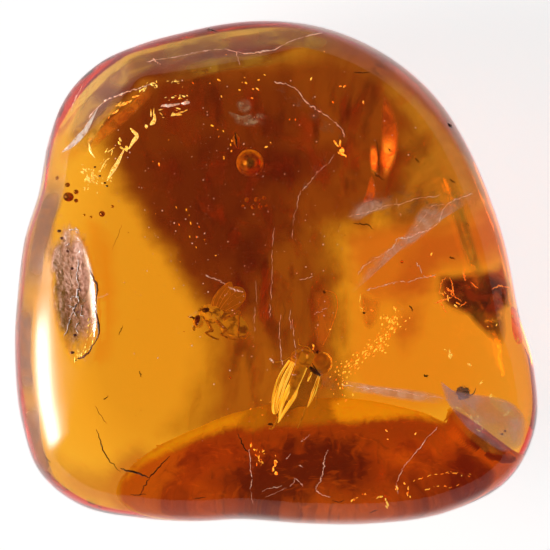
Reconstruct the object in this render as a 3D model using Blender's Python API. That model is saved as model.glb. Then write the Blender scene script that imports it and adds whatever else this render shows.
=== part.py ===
# A polished nugget of amber with two winged insects sealed inside it.
#
# The nugget lies on a flat polished facet. Its origin is in the middle of its footprint, on the facet,
# with +Z up and +X along its longest side. Sizes below are in millimetres and become metres when a mesh
# is made. The nugget set as one piece. It is parted level with the insects, so that each can lie in its
# own pocket.

import math

import bmesh
import bpy
from mathutils import Matrix, Vector

MM = 0.001

# ---- Nugget ----
HEIGHT = 14.5  # facet to crown, before the first flat takes a little off
GIRDLE_HEIGHT = 6.0  # level of the widest outline
GIRDLE_SWELL = 0.45  # how far that level rises and falls round the nugget
GIRDLE_SWELL_AT = 290.0  # direction where it is highest, degrees
CROWN_FULLNESS = 2.8
UNDERSIDE_FULLNESS = 3.2
UNDERSIDE_DEPTH = 0.55  # how far the rounded underside would reach below the facet that is ground on it
GRID = 20  # quads along each side of the six patches that cover the nugget

# Widest outline: how far it reaches from the origin in each direction, degrees anticlockwise from +X.
OUTLINE = {
    -11: 17.25, -3: 16.45, 8: 15.95, 20: 15.7, 33: 15.9, 48: 16.45, 64: 16.95, 80: 17.35, 95: 17.55,
    110: 17.85, 120: 18.4, 130: 19.05, 139: 19.1, 150: 18.25, 161: 17.4, 172: 17.6, 184: 17.95,
    198: 19.05, 211: 20.5, 220: 21.4, 230: 21.0, 241: 19.4, 252: 18.1, 263: 17.2, 277: 17.5,
    291: 18.6, 306: 20.4, 318: 21.5, 329: 20.9, 339: 19.15,
}  # fmt: skip

# Broad flats ground on the nugget: a point on each, its outward direction, and how softly it meets
# the rest.
FLATS = (
    ((0.0, 2.0, 13.9), (0.05, 0.03, 1.0), 0.9),  # crown
    ((-12.4, 11.6, 10.2), (-0.64, 0.60, 0.50), 0.35),  # upper left bevel
    ((-3.0, 15.5, 10.3), (-0.16, 0.88, 0.50), 0.35),  # far bevel
)

# Sloping flat under the near side, a little hollow both ways: the middle of the line where it leaves
# the facet, how far that line falls back over a half width, how far the flat runs, how high it climbs,
# and how hollow it is (1 is flat).
NEAR_FLAT_AT = (3.0, -8.5)
NEAR_FLAT_BOW = (13.3, 3.1)
NEAR_FLAT_RUN = 8.8
NEAR_FLAT_RISE = 6.2
NEAR_FLAT_HOLLOW = 1.3

# Shallow hollows: centre in plan, half length, half width, turn in degrees, depth.
SCOOP = ((14.7, -10.35), 4.0, 1.75, -38.0, 0.55)  # ground hollow on the near right shoulder
PIT = ((-13.7, -1.7), 4.9, 1.45, 97.0, 0.45)  # natural pit on the left flank

# ---- Parting and pockets ----
PARTING_HEIGHT = 8.2
GAP = 0.3  # between neighbouring solids
FLY_POCKET = ((-3.75, -2.55), (2.75, 2.45, 1.15))  # centre in plan, half sizes
GOLDEN_POCKET = ((1.35, -7.6), (3.1, 3.9, 1.25))
OUTSIDE = 60.0  # size of the blocks that part the nugget
CUTTER_WIDTH = 46.0  # block that grinds the flat under the near side
CUTTER_LENGTH = 12.0
CUTTER_COLUMNS = 16
CUTTER_ROWS = 8

# ---- Long-legged fly, seen from its side: +X to its tail, +Y to its back, +Z across it ----
FLY_PLACE = (-4.45, -2.85)
FLY_TURN = -6.0  # degrees about Z
THORAX = ((0.0, 0.0, 0.0), (0.86, 0.66, 0.50))
NECK = ((-0.42, -0.28, 0.0), (0.36, 0.32, 0.30))
HEAD = ((-0.88, -0.62, 0.0), (0.40, 0.47, 0.42))
EYES = ((-0.90, -0.54, 0.26), (0.22, 0.36, 0.22))  # one each side
ABDOMEN = ((1.42, -0.50, 0.0), (1.12, 0.78, 0.48))
TAIL = ((2.25, -0.80, 0.0), (0.42, 0.34, 0.28))
FLY_WING_THICKNESS = 0.09
FLY_WING_SPREAD = 0.24  # each wing's distance from the middle of the back
NEAR_WING = (
    (0.02, 0.40), (-0.05, 0.95), (0.22, 1.55), (0.62, 2.05), (0.95, 2.30),
    (1.15, 2.18), (1.20, 1.65), (1.10, 1.05), (0.80, 0.42),
)  # fmt: skip
FAR_WING = (
    (0.30, 0.38), (0.55, 1.10), (0.90, 1.75), (1.35, 2.00), (1.85, 1.95),
    (2.12, 1.60), (2.08, 1.10), (1.72, 0.62), (1.25, 0.28),
)  # fmt: skip
# Legs of one side, from the body out: femur, tibia and tarsus joints, then the radius at each point.
FLY_LEGS = (
    (
        (0.85, -0.30, 0.30), (1.80, 0.30, 0.42), (1.95, -1.35, 0.50),
        (2.35, -1.40, 0.45), (2.70, -1.15, 0.40),
    ),
    (
        (0.35, -0.40, 0.30), (1.10, -0.95, 0.45), (0.75, -1.30, 0.50),
        (1.35, -1.52, 0.45), (1.85, -1.55, 0.35),
    ),
    (
        (-0.30, -0.45, 0.25), (0.10, -1.10, 0.40), (-0.30, -1.30, 0.45),
        (0.20, -1.55, 0.40), (0.65, -1.66, 0.30),
    ),
)  # fmt: skip
FLY_LEG_RADII = (0.12, 0.10, 0.065, 0.055, 0.05)
FLY_ANTENNA = ((-1.15, -0.42, 0.12), (-1.36, -0.34, 0.16), (-1.48, -0.42, 0.18))
FLY_ANTENNA_RADII = (0.07, 0.06, 0.05)
PROBOSCIS = ((-1.05, -0.92, 0.0), (-1.12, -1.10, 0.0), (-1.02, -1.22, 0.0))
PROBOSCIS_RADII = (0.12, 0.10, 0.07)

# ---- Golden-winged insect, seen from its back ----
# Its place is between its wing roots, and +Z runs to its back.
GOLDEN_PLACE = (1.95, -6.05)
GOLDEN_THORAX = ((-0.10, 0.25, 0.0), (0.82, 0.58, 0.50))
GOLDEN_HEAD = ((1.05, -0.12, 0.0), (0.74, 0.76, 0.56))
GOLDEN_ABDOMEN = ((-0.85, -1.45, -0.16), (0.42, 1.55, 0.34))
GOLDEN_ABDOMEN_TURN = -24.0
GOLDEN_WING_THICKNESS = 0.10
# Each folded wing: its middle line from root to tip, its widest half width, and its height above
# the middle.
GOLDEN_WINGS = (
    (((-0.55, 0.20), (-1.40, -1.05), (-1.90, -2.35), (-2.02, -3.15)), 0.42, 0.26),
    (((-0.25, 0.00), (-0.95, -1.25), (-1.45, -2.60), (-1.72, -3.45)), 0.22, 0.10),
    (((0.00, -0.10), (-0.42, -1.35), (-1.05, -2.70), (-1.78, -3.95)), 0.24, -0.06),
    (((0.80, -0.60), (0.55, -1.30), (0.30, -2.05), (-0.05, -2.75)), 0.20, 0.12),
)
GOLDEN_LEGS = (
    (
        (0.20, 0.05, -0.20), (0.35, -1.30, -0.40), (0.10, -2.60, -0.35),
        (-0.15, -3.50, -0.30), (-0.50, -4.25, -0.25),
    ),
    (
        (-0.45, 0.05, -0.20), (-1.20, -1.60, -0.50), (-1.75, -3.20, -0.45),
        (-2.15, -4.15, -0.35), (-2.45, -4.22, -0.35),
    ),
    (
        (0.60, -0.40, -0.25), (1.05, -1.30, -0.40), (0.70, -2.10, -0.45),
        (0.75, -2.80, -0.40), (0.55, -3.10, -0.35),
    ),
)  # fmt: skip
GOLDEN_LEG_RADII = (0.10, 0.085, 0.065, 0.055, 0.05)
GOLDEN_ANTENNAE = (
    ((0.20, 0.40, 0.15), (-0.75, 0.45, 0.20), (-1.55, 0.05, 0.15), (-2.10, -0.02, 0.10)),
    ((0.55, 0.45, 0.10), (0.15, 0.95, 0.15), (-0.45, 1.10, 0.15), (-0.55, 1.55, 0.10)),
)
GOLDEN_ANTENNA_RADII = (0.075, 0.06, 0.055, 0.05)


def clear_scene():
    for obj in list(bpy.data.objects):
        bpy.data.objects.remove(obj, do_unlink=True)


def make_material(name, color, roughness, transmission=0.0):
    material = bpy.data.materials.new(name)
    material.use_nodes = True
    shader = material.node_tree.nodes["Principled BSDF"]
    shader.inputs["Base Color"].default_value = (*color, 1.0)
    shader.inputs["Roughness"].default_value = roughness
    shader.inputs["Metallic"].default_value = 0.0
    shader.inputs["Transmission Weight"].default_value = transmission
    shader.inputs["IOR"].default_value = 1.54
    return material


def link_mesh(name, shape, material=None, collection=None):
    """Turns a bmesh in millimetres into an object in metres."""
    bmesh.ops.scale(shape, vec=(MM, MM, MM), verts=shape.verts)
    bmesh.ops.recalc_face_normals(shape, faces=shape.faces)
    mesh = bpy.data.meshes.new(name)
    shape.to_mesh(mesh)
    shape.free()
    if material:
        mesh.materials.append(material)
    obj = bpy.data.objects.new(name, mesh)
    (collection or bpy.context.scene.collection).objects.link(obj)
    return obj


def hide_helper(obj):
    obj.hide_render = True
    obj.display_type = "WIRE"


# ---- The nugget's surface ----


def outline_reach(angle):
    """Distance from the origin to the widest outline, on a smooth closed curve through OUTLINE."""
    turns = sorted(OUTLINE)
    angle = (angle - turns[0]) % 360 + turns[0]
    last = max(i for i, turn in enumerate(turns) if turn <= angle)
    around = []
    for step in (-1, 0, 1, 2):
        laps, index = divmod(last + step, len(turns))
        around.append((turns[index] + 360 * laps, OUTLINE[turns[index]]))
    (a0, r0), (a1, r1), (a2, r2), (a3, r3) = around
    span = a2 - a1
    slope_in = (r2 - r0) / (a2 - a0) * span
    slope_out = (r3 - r1) / (a3 - a1) * span
    t = (angle - a1) / span
    return (
        r1 * (2 * t**3 - 3 * t**2 + 1)
        + slope_in * (t**3 - 2 * t**2 + t)
        + r2 * (3 * t**2 - 2 * t**3)
        + slope_out * (t**3 - t**2)
    )


def soft_limit(distance, softness):
    """The smaller of distance and zero, rounded over the given softness."""
    blend = max(softness - abs(distance), 0.0)
    return min(distance, 0.0) - blend * blend / (4 * softness)


def in_ellipse(x, y, hollow):
    """How far inside a hollow's plan outline a point is: 1 in the middle, 0 at the edge and outside."""
    (cx, cy), half_length, half_width, turn, _depth = hollow
    along = Matrix.Rotation(math.radians(-turn), 2) @ Vector((x - cx, y - cy))
    return max(0.0, 1 - (along.x / half_length) ** 2 - (along.y / half_width) ** 2)


def near_flat_line(x):
    return NEAR_FLAT_AT[1] - NEAR_FLAT_BOW[1] * ((x - NEAR_FLAT_AT[0]) / NEAR_FLAT_BOW[0]) ** 2


def near_flat_height(x, y):
    """Height of the sloping flat, which runs on below the facet inwards of the line they share."""
    climbed = (near_flat_line(x) - y) / NEAR_FLAT_RUN
    if climbed < 0:
        return NEAR_FLAT_RISE * NEAR_FLAT_HOLLOW * climbed
    return NEAR_FLAT_RISE * (1 - max(1 - climbed, 0.0) ** NEAR_FLAT_HOLLOW)


def nugget_point(direction):
    """The point of the nugget's surface that a unit direction from its middle leads to."""
    angle = math.degrees(math.atan2(direction.y, direction.x))
    flatness = math.hypot(direction.x, direction.y)
    girdle = GIRDLE_HEIGHT + GIRDLE_SWELL * math.cos(math.radians(angle - GIRDLE_SWELL_AT)) * flatness
    if direction.z >= 0:
        fullness, rise = CROWN_FULLNESS, HEIGHT - girdle
    else:
        fullness, rise = UNDERSIDE_FULLNESS, -(girdle + UNDERSIDE_DEPTH)
    reach = outline_reach(angle) * flatness ** (2 / fullness)
    x = reach * math.cos(math.radians(angle))
    y = reach * math.sin(math.radians(angle))
    point = Vector((x, y, girdle + rise * abs(direction.z) ** (2 / fullness)))
    for place, outward, softness in FLATS:
        outward = Vector(outward).normalized()
        distance = (point - Vector(place)).dot(outward)
        if distance > -softness:
            point += outward * (soft_limit(distance, softness) - distance)
    if direction.z > 0:
        point.z -= SCOOP[-1] * in_ellipse(point.x, point.y, SCOOP)
        point.z -= PIT[-1] * in_ellipse(point.x, point.y, PIT)
    return point


def nugget_shape():
    shape = bmesh.new()
    bmesh.ops.create_cube(shape, size=2.0)
    bmesh.ops.subdivide_edges(shape, edges=shape.edges, cuts=GRID - 1, use_grid_fill=True)
    for vert in shape.verts:
        # Evening out the spacing that a cube's grid has once it is pressed onto a sphere
        even = Vector([math.tan(math.radians(45) * c) for c in vert.co])
        vert.co = nugget_point(even.normalized())
    return shape


# ---- Small shapes ----


def ellipsoid(centre, half_sizes, turn=0.0, finer=2):
    shape = bmesh.new()
    place = Matrix.Translation(centre) @ Matrix.Rotation(math.radians(turn), 4, "Z")
    place @= Matrix.Diagonal((*half_sizes, 1))
    bmesh.ops.create_icosphere(shape, subdivisions=finer, radius=1.0, matrix=place)
    return shape


def block(bottom, top):
    shape = bmesh.new()
    place = Matrix.Translation((0, 0, (bottom + top) / 2))
    place @= Matrix.Diagonal((OUTSIDE, OUTSIDE, top - bottom, 1))
    bmesh.ops.create_cube(shape, size=1.0, matrix=place)
    return shape


def near_flat_block():
    """What is ground away under the near side: a grid on the flat, closed well below the facet."""
    shape = bmesh.new()
    columns = [CUTTER_WIDTH * (i / CUTTER_COLUMNS - 0.5) for i in range(CUTTER_COLUMNS + 1)]
    lines = []
    for step in range(-1, CUTTER_ROWS + 1):
        line = []
        for x in columns:
            y = near_flat_line(x) - CUTTER_LENGTH * step / CUTTER_ROWS
            line.append(shape.verts.new((x, y, near_flat_height(x, y))))
        lines.append(line)
    for first, second in zip(lines, lines[1:]):
        for k in range(CUTTER_COLUMNS):
            shape.faces.new((first[k], first[k + 1], second[k + 1], second[k]))
    risen = bmesh.ops.extrude_face_region(shape, geom=shape.faces[:])["geom"]
    for vert in risen:
        if isinstance(vert, bmesh.types.BMVert):
            vert.co.z = -CUTTER_LENGTH
    return shape


def plate(outline, thickness, height):
    """A flat wing: a plan outline given a thickness."""
    shape = bmesh.new()
    face = shape.faces.new([shape.verts.new((x, y, height - thickness / 2)) for x, y in outline])
    risen = bmesh.ops.extrude_face_region(shape, geom=[face])["geom"]
    upper = [part for part in risen if isinstance(part, bmesh.types.BMVert)]
    bmesh.ops.translate(shape, vec=(0, 0, thickness), verts=upper)
    return shape


def blade(middle, half_width, thickness, height):
    """A long narrow wing about a middle line, widest in its middle and rounded at its tip."""
    line = [Vector(p) for p in middle]
    widths = [half_width * w for w in (0.55, 1.0, 0.85, 0.3)]
    left, right = [], []
    for i, point in enumerate(line):
        along = (line[min(i + 1, len(line) - 1)] - line[max(i - 1, 0)]).normalized()
        across = Vector((-along.y, along.x)) * widths[i]
        left.append(point + across)
        right.append(point - across)
    return plate(left + right[::-1], thickness, height)


def tube(path, radii, sides=6):
    """A limb: rings round a path, joined and closed at both ends."""
    shape = bmesh.new()
    points = [Vector(p) for p in path]
    rings = []
    for i, (point, radius) in enumerate(zip(points, radii)):
        along = (points[min(i + 1, len(points) - 1)] - points[max(i - 1, 0)]).normalized()
        aside = Vector((0, 0, 1)) if abs(along.z) < 0.9 else Vector((1, 0, 0))
        across = along.cross(aside).normalized()
        beside = along.cross(across)
        ring = []
        for k in range(sides):
            turn = 2 * math.pi * (k + 0.5) / sides
            outward = math.cos(turn) * across + math.sin(turn) * beside
            ring.append(shape.verts.new(point + radius * outward))
        rings.append(ring)
    for first, second in zip(rings, rings[1:]):
        for k in range(sides):
            shape.faces.new((first[k - 1], first[k], second[k], second[k - 1]))
    shape.faces.new(rings[0])
    shape.faces.new(rings[-1][::-1])
    return shape


def mirrored(points):
    """The same path on the insect's other side."""
    return [(x, y, -z) for x, y, z in points]


# ---- Pieces ----


def fuse(name, body, limbs, material, place, turn):
    """One solid from a body and the limbs that grew from it, placed level with the parting."""
    spot = bpy.data.objects.new(name + "_place", None)
    spot.location = (place[0] * MM, place[1] * MM, PARTING_HEIGHT * MM)
    spot.rotation_euler.z = math.radians(turn)
    bpy.context.scene.collection.objects.link(spot)
    obj = link_mesh(name, body, material)
    obj.parent = spot
    grown = bpy.data.collections.new(name + "_limbs")
    bpy.context.scene.collection.children.link(grown)
    for number, shape in enumerate(limbs):
        limb = link_mesh(f"{name}_limb_{number}", shape, collection=grown)
        limb.parent = spot
        hide_helper(limb)
    join = obj.modifiers.new("grown_together", "BOOLEAN")
    join.operation = "UNION"
    join.operand_type = "COLLECTION"
    join.collection = grown
    return obj


def make_fly(material):
    side = Vector(EYES[0])
    limbs = [
        ellipsoid(*NECK),
        ellipsoid(*HEAD),
        ellipsoid(side, EYES[1], turn=25),
        ellipsoid((side.x, side.y, -side.z), EYES[1], turn=25),
        ellipsoid(*ABDOMEN, turn=-12, finer=3),
        ellipsoid(*TAIL),
        plate(NEAR_WING, FLY_WING_THICKNESS, FLY_WING_SPREAD),
        plate(FAR_WING, FLY_WING_THICKNESS, -FLY_WING_SPREAD),
        tube(PROBOSCIS, PROBOSCIS_RADII),
    ]
    for path in FLY_LEGS:
        limbs += [tube(path, FLY_LEG_RADII), tube(mirrored(path), FLY_LEG_RADII)]
    limbs += [tube(FLY_ANTENNA, FLY_ANTENNA_RADII), tube(mirrored(FLY_ANTENNA), FLY_ANTENNA_RADII)]
    return fuse("long_legged_fly", ellipsoid(*THORAX, finer=3), limbs, material, FLY_PLACE, FLY_TURN)


def make_golden_insect(material):
    limbs = [
        ellipsoid(*GOLDEN_HEAD, finer=3),
        ellipsoid(*GOLDEN_ABDOMEN, turn=GOLDEN_ABDOMEN_TURN),
    ]
    limbs += [
        blade(middle, width, GOLDEN_WING_THICKNESS, height)
        for middle, width, height in GOLDEN_WINGS
    ]
    limbs += [tube(path, GOLDEN_LEG_RADII) for path in GOLDEN_LEGS]
    limbs += [tube(path, GOLDEN_ANTENNA_RADII) for path in GOLDEN_ANTENNAE]
    thorax = ellipsoid(*GOLDEN_THORAX, finer=3)
    return fuse("golden_winged_insect", thorax, limbs, material, GOLDEN_PLACE, 0.0)


def make_cutters():
    """What is taken away from each half: the other's space, the pockets, and below, the flats."""
    pockets = [
        link_mesh(name, ellipsoid((x, y, PARTING_HEIGHT), half_sizes, finer=3))
        for name, ((x, y), half_sizes) in (("fly_pocket", FLY_POCKET), ("golden_pocket", GOLDEN_POCKET))
    ]
    space_below = link_mesh("space_below_parting", block(-OUTSIDE, PARTING_HEIGHT + GAP / 2))
    space_above = link_mesh("space_above_parting", block(PARTING_HEIGHT - GAP / 2, OUTSIDE))
    facet = link_mesh("space_below_facet", block(-OUTSIDE, 0.0))
    near_flat = link_mesh("space_below_near_flat", near_flat_block())
    for obj in (*pockets, space_below, space_above, facet, near_flat):
        hide_helper(obj)
    return {
        "amber_upper": (space_below, *pockets),
        "amber_lower": (space_above, facet, near_flat, *pockets),
    }


def make_half(name, cutters, material):
    half = link_mesh(name, nugget_shape(), material)
    half.data.shade_smooth()
    half.data.set_sharp_from_angle(angle=math.radians(35))
    for cutter in cutters:
        cut = half.modifiers.new(cutter.name, "BOOLEAN")
        cut.operation = "DIFFERENCE"
        cut.object = cutter
    return half


def main():
    clear_scene()
    amber = make_material("amber", (0.80, 0.33, 0.03), 0.04, transmission=1.0)
    fly_brown = make_material("fly_brown", (0.42, 0.17, 0.02), 0.45)
    wing_gold = make_material("wing_gold", (0.86, 0.56, 0.10), 0.30)
    for name, cutters in make_cutters().items():
        make_half(name, cutters, amber)
    make_fly(fly_brown)
    make_golden_insect(wing_gold)


main()
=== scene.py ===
# Insect in amber: a polished nugget, the two insects in it and all else that the resin caught.
# Lengths are in millimetres and become metres as a mesh is made. Places inside the amber are given as they show from
# straight above, with a level over the facet, and showsAt works out where the bent line of sight puts them.

import math
import random

import bmesh
import bpy
from mathutils import Matrix, Vector, noise
from mathutils.bvhtree import BVHTree


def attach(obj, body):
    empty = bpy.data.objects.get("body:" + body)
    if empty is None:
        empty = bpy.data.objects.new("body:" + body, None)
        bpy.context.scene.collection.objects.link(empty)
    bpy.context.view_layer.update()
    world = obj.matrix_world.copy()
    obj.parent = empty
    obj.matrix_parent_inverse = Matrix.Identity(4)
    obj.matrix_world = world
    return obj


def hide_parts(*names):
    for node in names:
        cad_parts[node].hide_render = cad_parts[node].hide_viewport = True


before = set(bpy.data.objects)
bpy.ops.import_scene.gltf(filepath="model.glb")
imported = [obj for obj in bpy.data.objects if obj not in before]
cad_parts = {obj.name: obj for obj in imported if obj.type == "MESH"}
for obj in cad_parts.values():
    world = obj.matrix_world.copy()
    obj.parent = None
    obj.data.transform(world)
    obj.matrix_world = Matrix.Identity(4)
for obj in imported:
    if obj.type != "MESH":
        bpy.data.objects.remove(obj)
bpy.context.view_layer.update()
mm = 0.001
amberIor = 1.54
up = Vector((0, 0, 1))

studio = {
    "floor": (0.50, 0.50, 0.50),
    "floorGlow": 0.83,  # the pale table is lit from beneath, over a square whose edge fades
    "floorDim": 0.30,  # what is left of that glow farther out
    "litHalf": (20.4, 30.0),
    "floorGap": 0.02,  # air under the polished facet
    "worldStrength": 0.05,
    "leftTint": (1.0, 0.94, 0.91),
    # place and size in metres, aimed at the nugget, then the radiance
    "lights": {
        "leftSoftbox": ((-0.41, -0.080, 0.070), (0.20, 0.13), 32.0),
        "leftSpill": ((-0.41, -0.090, 0.150), (0.17, 0.06), 8.0),
        "leftGlow": ((-0.39, -0.11, 0.200), (0.14, 0.07), 2.5),
    },
    "cameraAt": (-0.1, -0.14, 420.0),
    "viewWidth": 38.0,  # across the picture at the nugget's widest level
    "viewLevel": 7.0,
    "sensorWidth": 36.0,
    "floorHalf": 1200.0,
    "floorRoughness": 0.9,
    "squareness": 8,  # how square the lit part of the floor is; 2 would be round
    "bounces": 16,
    "filmBounces": 32,  # how many thin films one line of sight may cross
}


# Shader sums: a Wire stands for one socket, and a Shade is one material in the making
class Wire:
    def __init__(self, shade, socket):
        self.shade = shade
        self.socket = socket

    def sum(self, operation, *values):
        return self.shade.make("ShaderNodeMath", {"operation": operation}, dict(enumerate(values)), "Value")

    def __add__(self, other):
        return self.sum("ADD", self, other)

    def __sub__(self, other):
        return self.sum("SUBTRACT", self, other)

    def __rsub__(self, other):
        return self.sum("SUBTRACT", other, self)

    def __mul__(self, other):
        return self.sum("MULTIPLY", self, other)

    __radd__ = __add__
    __rmul__ = __mul__


class Shade:
    def __init__(self, name):
        self.material = bpy.data.materials.new(name)
        self.material.use_nodes = True
        self.tree = self.material.node_tree
        self.tree.nodes.clear()
        self.out = self.tree.nodes.new("ShaderNodeOutputMaterial")

    def make(self, kind, settings=None, values=None, out=0):
        node = self.tree.nodes.new(kind)
        for name, value in (settings or {}).items():
            if name == "stops":
                ramp = node.color_ramp
                while len(ramp.elements) < len(value):
                    ramp.elements.new(0.5)
                for element, (place, color) in zip(ramp.elements, value):
                    element.position = place
                    element.color = (*color, 1.0)
            else:
                setattr(node, name, value)
        for name, value in (values or {}).items():
            socket = node.inputs[name]
            if isinstance(value, Wire):
                self.tree.links.new(value.socket, socket)
            elif socket.type == "RGBA":
                socket.default_value = (*value, 1.0)
            else:
                socket.default_value = value
        return Wire(self, node.outputs[out])

    def place(self):
        return self.make("ShaderNodeTexCoord", out="Object")

    def scaled(self, size, stretch=(1, 1, 1)):
        factors = [s / (size * mm) for s in stretch]
        return self.make("ShaderNodeVectorMath", {"operation": "MULTIPLY"}, {0: self.place(), 1: factors}, "Vector")

    def cloudy(self, size, detail=4.0, stretch=(1, 1, 1), distortion=0.0):
        # noise whose lumps are about size millimetres across
        values = {"Vector": self.scaled(size, stretch), "Scale": 1.0, "Detail": detail, "Distortion": distortion}
        return self.make("ShaderNodeTexNoise", {}, values, "Fac")

    def cells(self, size, feature="DISTANCE_TO_EDGE"):
        values = {"Vector": self.scaled(size), "Scale": 1.0}
        return self.make("ShaderNodeTexVoronoi", {"feature": feature}, values, "Distance")

    def marked(self, name):
        # a number kept with each point of the mesh
        return self.make("ShaderNodeAttribute", {"attribute_name": name}, out="Fac")

    def ramp(self, value, *stops):
        return self.make("ShaderNodeValToRGB", {"stops": stops}, {"Fac": value}, "Color")

    def fade(self, value, low, high):
        # 0 at low, 1 at high
        values = {"Value": value, "From Min": low, "From Max": high}
        return self.make("ShaderNodeMapRange", {"interpolation_type": "SMOOTHSTEP"}, values, "Result")

    def stain(self, under, mask, tone):
        # lets only the tone's share of red, green and blue through where the mask is 1
        return self.make("ShaderNodeMix", {"data_type": "RGBA", "blend_type": "MULTIPLY"},
                {0: mask, 6: under, 7: tone}, 2)

    def mix(self, factor, first, second):
        return self.make("ShaderNodeMix", {"data_type": "RGBA"}, {0: factor, 6: first, 7: second}, 2)

    def bump(self, height, depth):
        return self.make("ShaderNodeBump", {}, {"Height": height, "Strength": 1.0, "Distance": depth * mm}, "Normal")

    def principled(self, **values):
        # sockets are named with their spaces left out
        node = self.make("ShaderNodeBsdfPrincipled").socket.node
        for key, value in values.items():
            socket = next(s for s in node.inputs if s.name.replace(" ", "") == key)
            if isinstance(value, Wire):
                self.tree.links.new(value.socket, socket)
            else:
                socket.default_value = (*value, 1.0) if socket.type == "RGBA" else value
        return Wire(self, node.outputs[0])

    def seeThrough(self, surface, cover):
        # cover 1 shows the surface, 0 lets all light pass
        clear = self.make("ShaderNodeBsdfTransparent")
        return self.make("ShaderNodeMixShader", {}, {0: cover, 1: clear, 2: surface})

    def absorb(self, length, left):
        # plain absorption that leaves so much of red, green and blue after length millimetres
        taken = [-math.log(part) / length for part in left]
        color = [1 - part / max(taken) for part in taken]
        return self.make("ShaderNodeVolumeAbsorption", {}, {"Color": color, "Density": max(taken) / mm})

    def wear(self, surface, volume=None):
        self.tree.links.new(surface.socket, self.out.inputs["Surface"])
        if volume:
            self.tree.links.new(volume.socket, self.out.inputs["Volume"])
        return self.material


# Small shapes that the pieces are made of
def toObject(name, shape, material, slot=None, smooth=True):
    bmesh.ops.scale(shape, vec=(mm, mm, mm), verts=shape.verts)
    mesh = bpy.data.meshes.new(name)
    shape.to_mesh(mesh)
    shape.free()
    for one in material if isinstance(material, list) else [material]:
        mesh.materials.append(one)
    if smooth:
        mesh.shade_smooth()
    piece = bpy.data.objects.new(name, mesh)
    bpy.context.scene.collection.objects.link(piece)
    if slot:
        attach(piece, "root")
    return piece


def smoothPath(points, steps=6, closed=False):
    # a rounded line through the points
    points = [Vector(p) for p in points]
    n = len(points)
    found = []
    for i in range(n if closed else n - 1):
        p0, p1, p2, p3 = (points[(i + k) % n if closed else min(max(i + k, 0), n - 1)] for k in (-1, 0, 1, 2))
        for step in range(steps):
            t = step / steps
            found.append(p1 + ((p2 - p0) * t + (2 * p0 - 5 * p1 + 4 * p2 - p3) * t * t
                               + (3 * p1 - p0 - 3 * p2 + p3) * t**3) / 2)
    return found if closed else found + [points[-1]]


def turned(flat, degrees):
    return Matrix.Rotation(math.radians(degrees), 2) @ Vector(flat)


def addTube(shape, path, radii, sides=6, slot=0):
    # a closed tube whose radii are spread evenly along the path
    rings = []
    side = None
    for i, point in enumerate(path):
        ahead = (path[min(i + 1, len(path) - 1)] - path[max(i - 1, 0)]).normalized()
        side = (side - ahead * side.dot(ahead)).normalized() if side else ahead.orthogonal().normalized()
        other = ahead.cross(side)
        along = i / (len(path) - 1) * (len(radii) - 1)
        k = min(int(along), len(radii) - 2)
        radius = radii[k] + (radii[k + 1] - radii[k]) * (along - k)
        turns = [2 * math.pi * s / sides for s in range(sides)]
        rings.append([shape.verts.new(point + (side * math.cos(a) + other * math.sin(a)) * radius) for a in turns])
    faces = [shape.faces.new(rings[0][::-1]), shape.faces.new(rings[-1])]
    for first, second in zip(rings, rings[1:]):
        for k in range(sides):
            faces.append(shape.faces.new((first[k - 1], first[k], second[k], second[k - 1])))
    for face in faces:
        face.material_index = slot


def addBall(shape, centre, half, frameOf=None, detail=3, slot=0):
    matrix = Matrix.Translation(centre) @ (frameOf or Matrix()) @ Matrix.Diagonal((*half, 1))
    made = bmesh.ops.create_icosphere(shape, subdivisions=detail, radius=1.0, matrix=matrix)["verts"]
    for face in {f for v in made for f in v.link_faces}:
        face.material_index = slot
    return made


def addLens(shape, rim, thickness, rings=6, crisp=1.0, bulge=0.0, lump=0.0, lumpSize=1.0, middle=None, slot=0):
    # a closed lens inside a rim of points; crisp under 1 has a round edge, over 1 a feathered one
    middle = middle or sum(rim, Vector()) / len(rim)
    facing = Vector()
    for a, b in zip(rim, rim[1:] + rim[:1]):
        facing += (a - middle).cross(b - middle)
    facing.normalize()
    count = len(rim)
    edge = [shape.verts.new(point) for point in rim]
    faces = []
    for side in (1, -1):
        loops = []
        for i in range(1, rings):
            r = i / rings
            loop = []
            for point in rim:
                flat = middle + (point - middle) * r
                height = thickness * (1 - r * r) ** crisp * (1 + lump * noise.noise(flat / lumpSize))
                loop.append(shape.verts.new(flat + facing * (side * height + bulge * (1 - r * r))))
            loops.append(loop)
        loops.append(edge)
        pole = shape.verts.new(middle + facing * (side * thickness + bulge))
        for k in range(count):
            faces.append(shape.faces.new((pole, loops[0][k - 1], loops[0][k])[::side]))
        for first, second in zip(loops, loops[1:]):
            for k in range(count):
                faces.append(shape.faces.new((first[k - 1], second[k - 1], second[k], first[k])[::side]))
    for face in faces:
        face.material_index = slot


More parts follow.
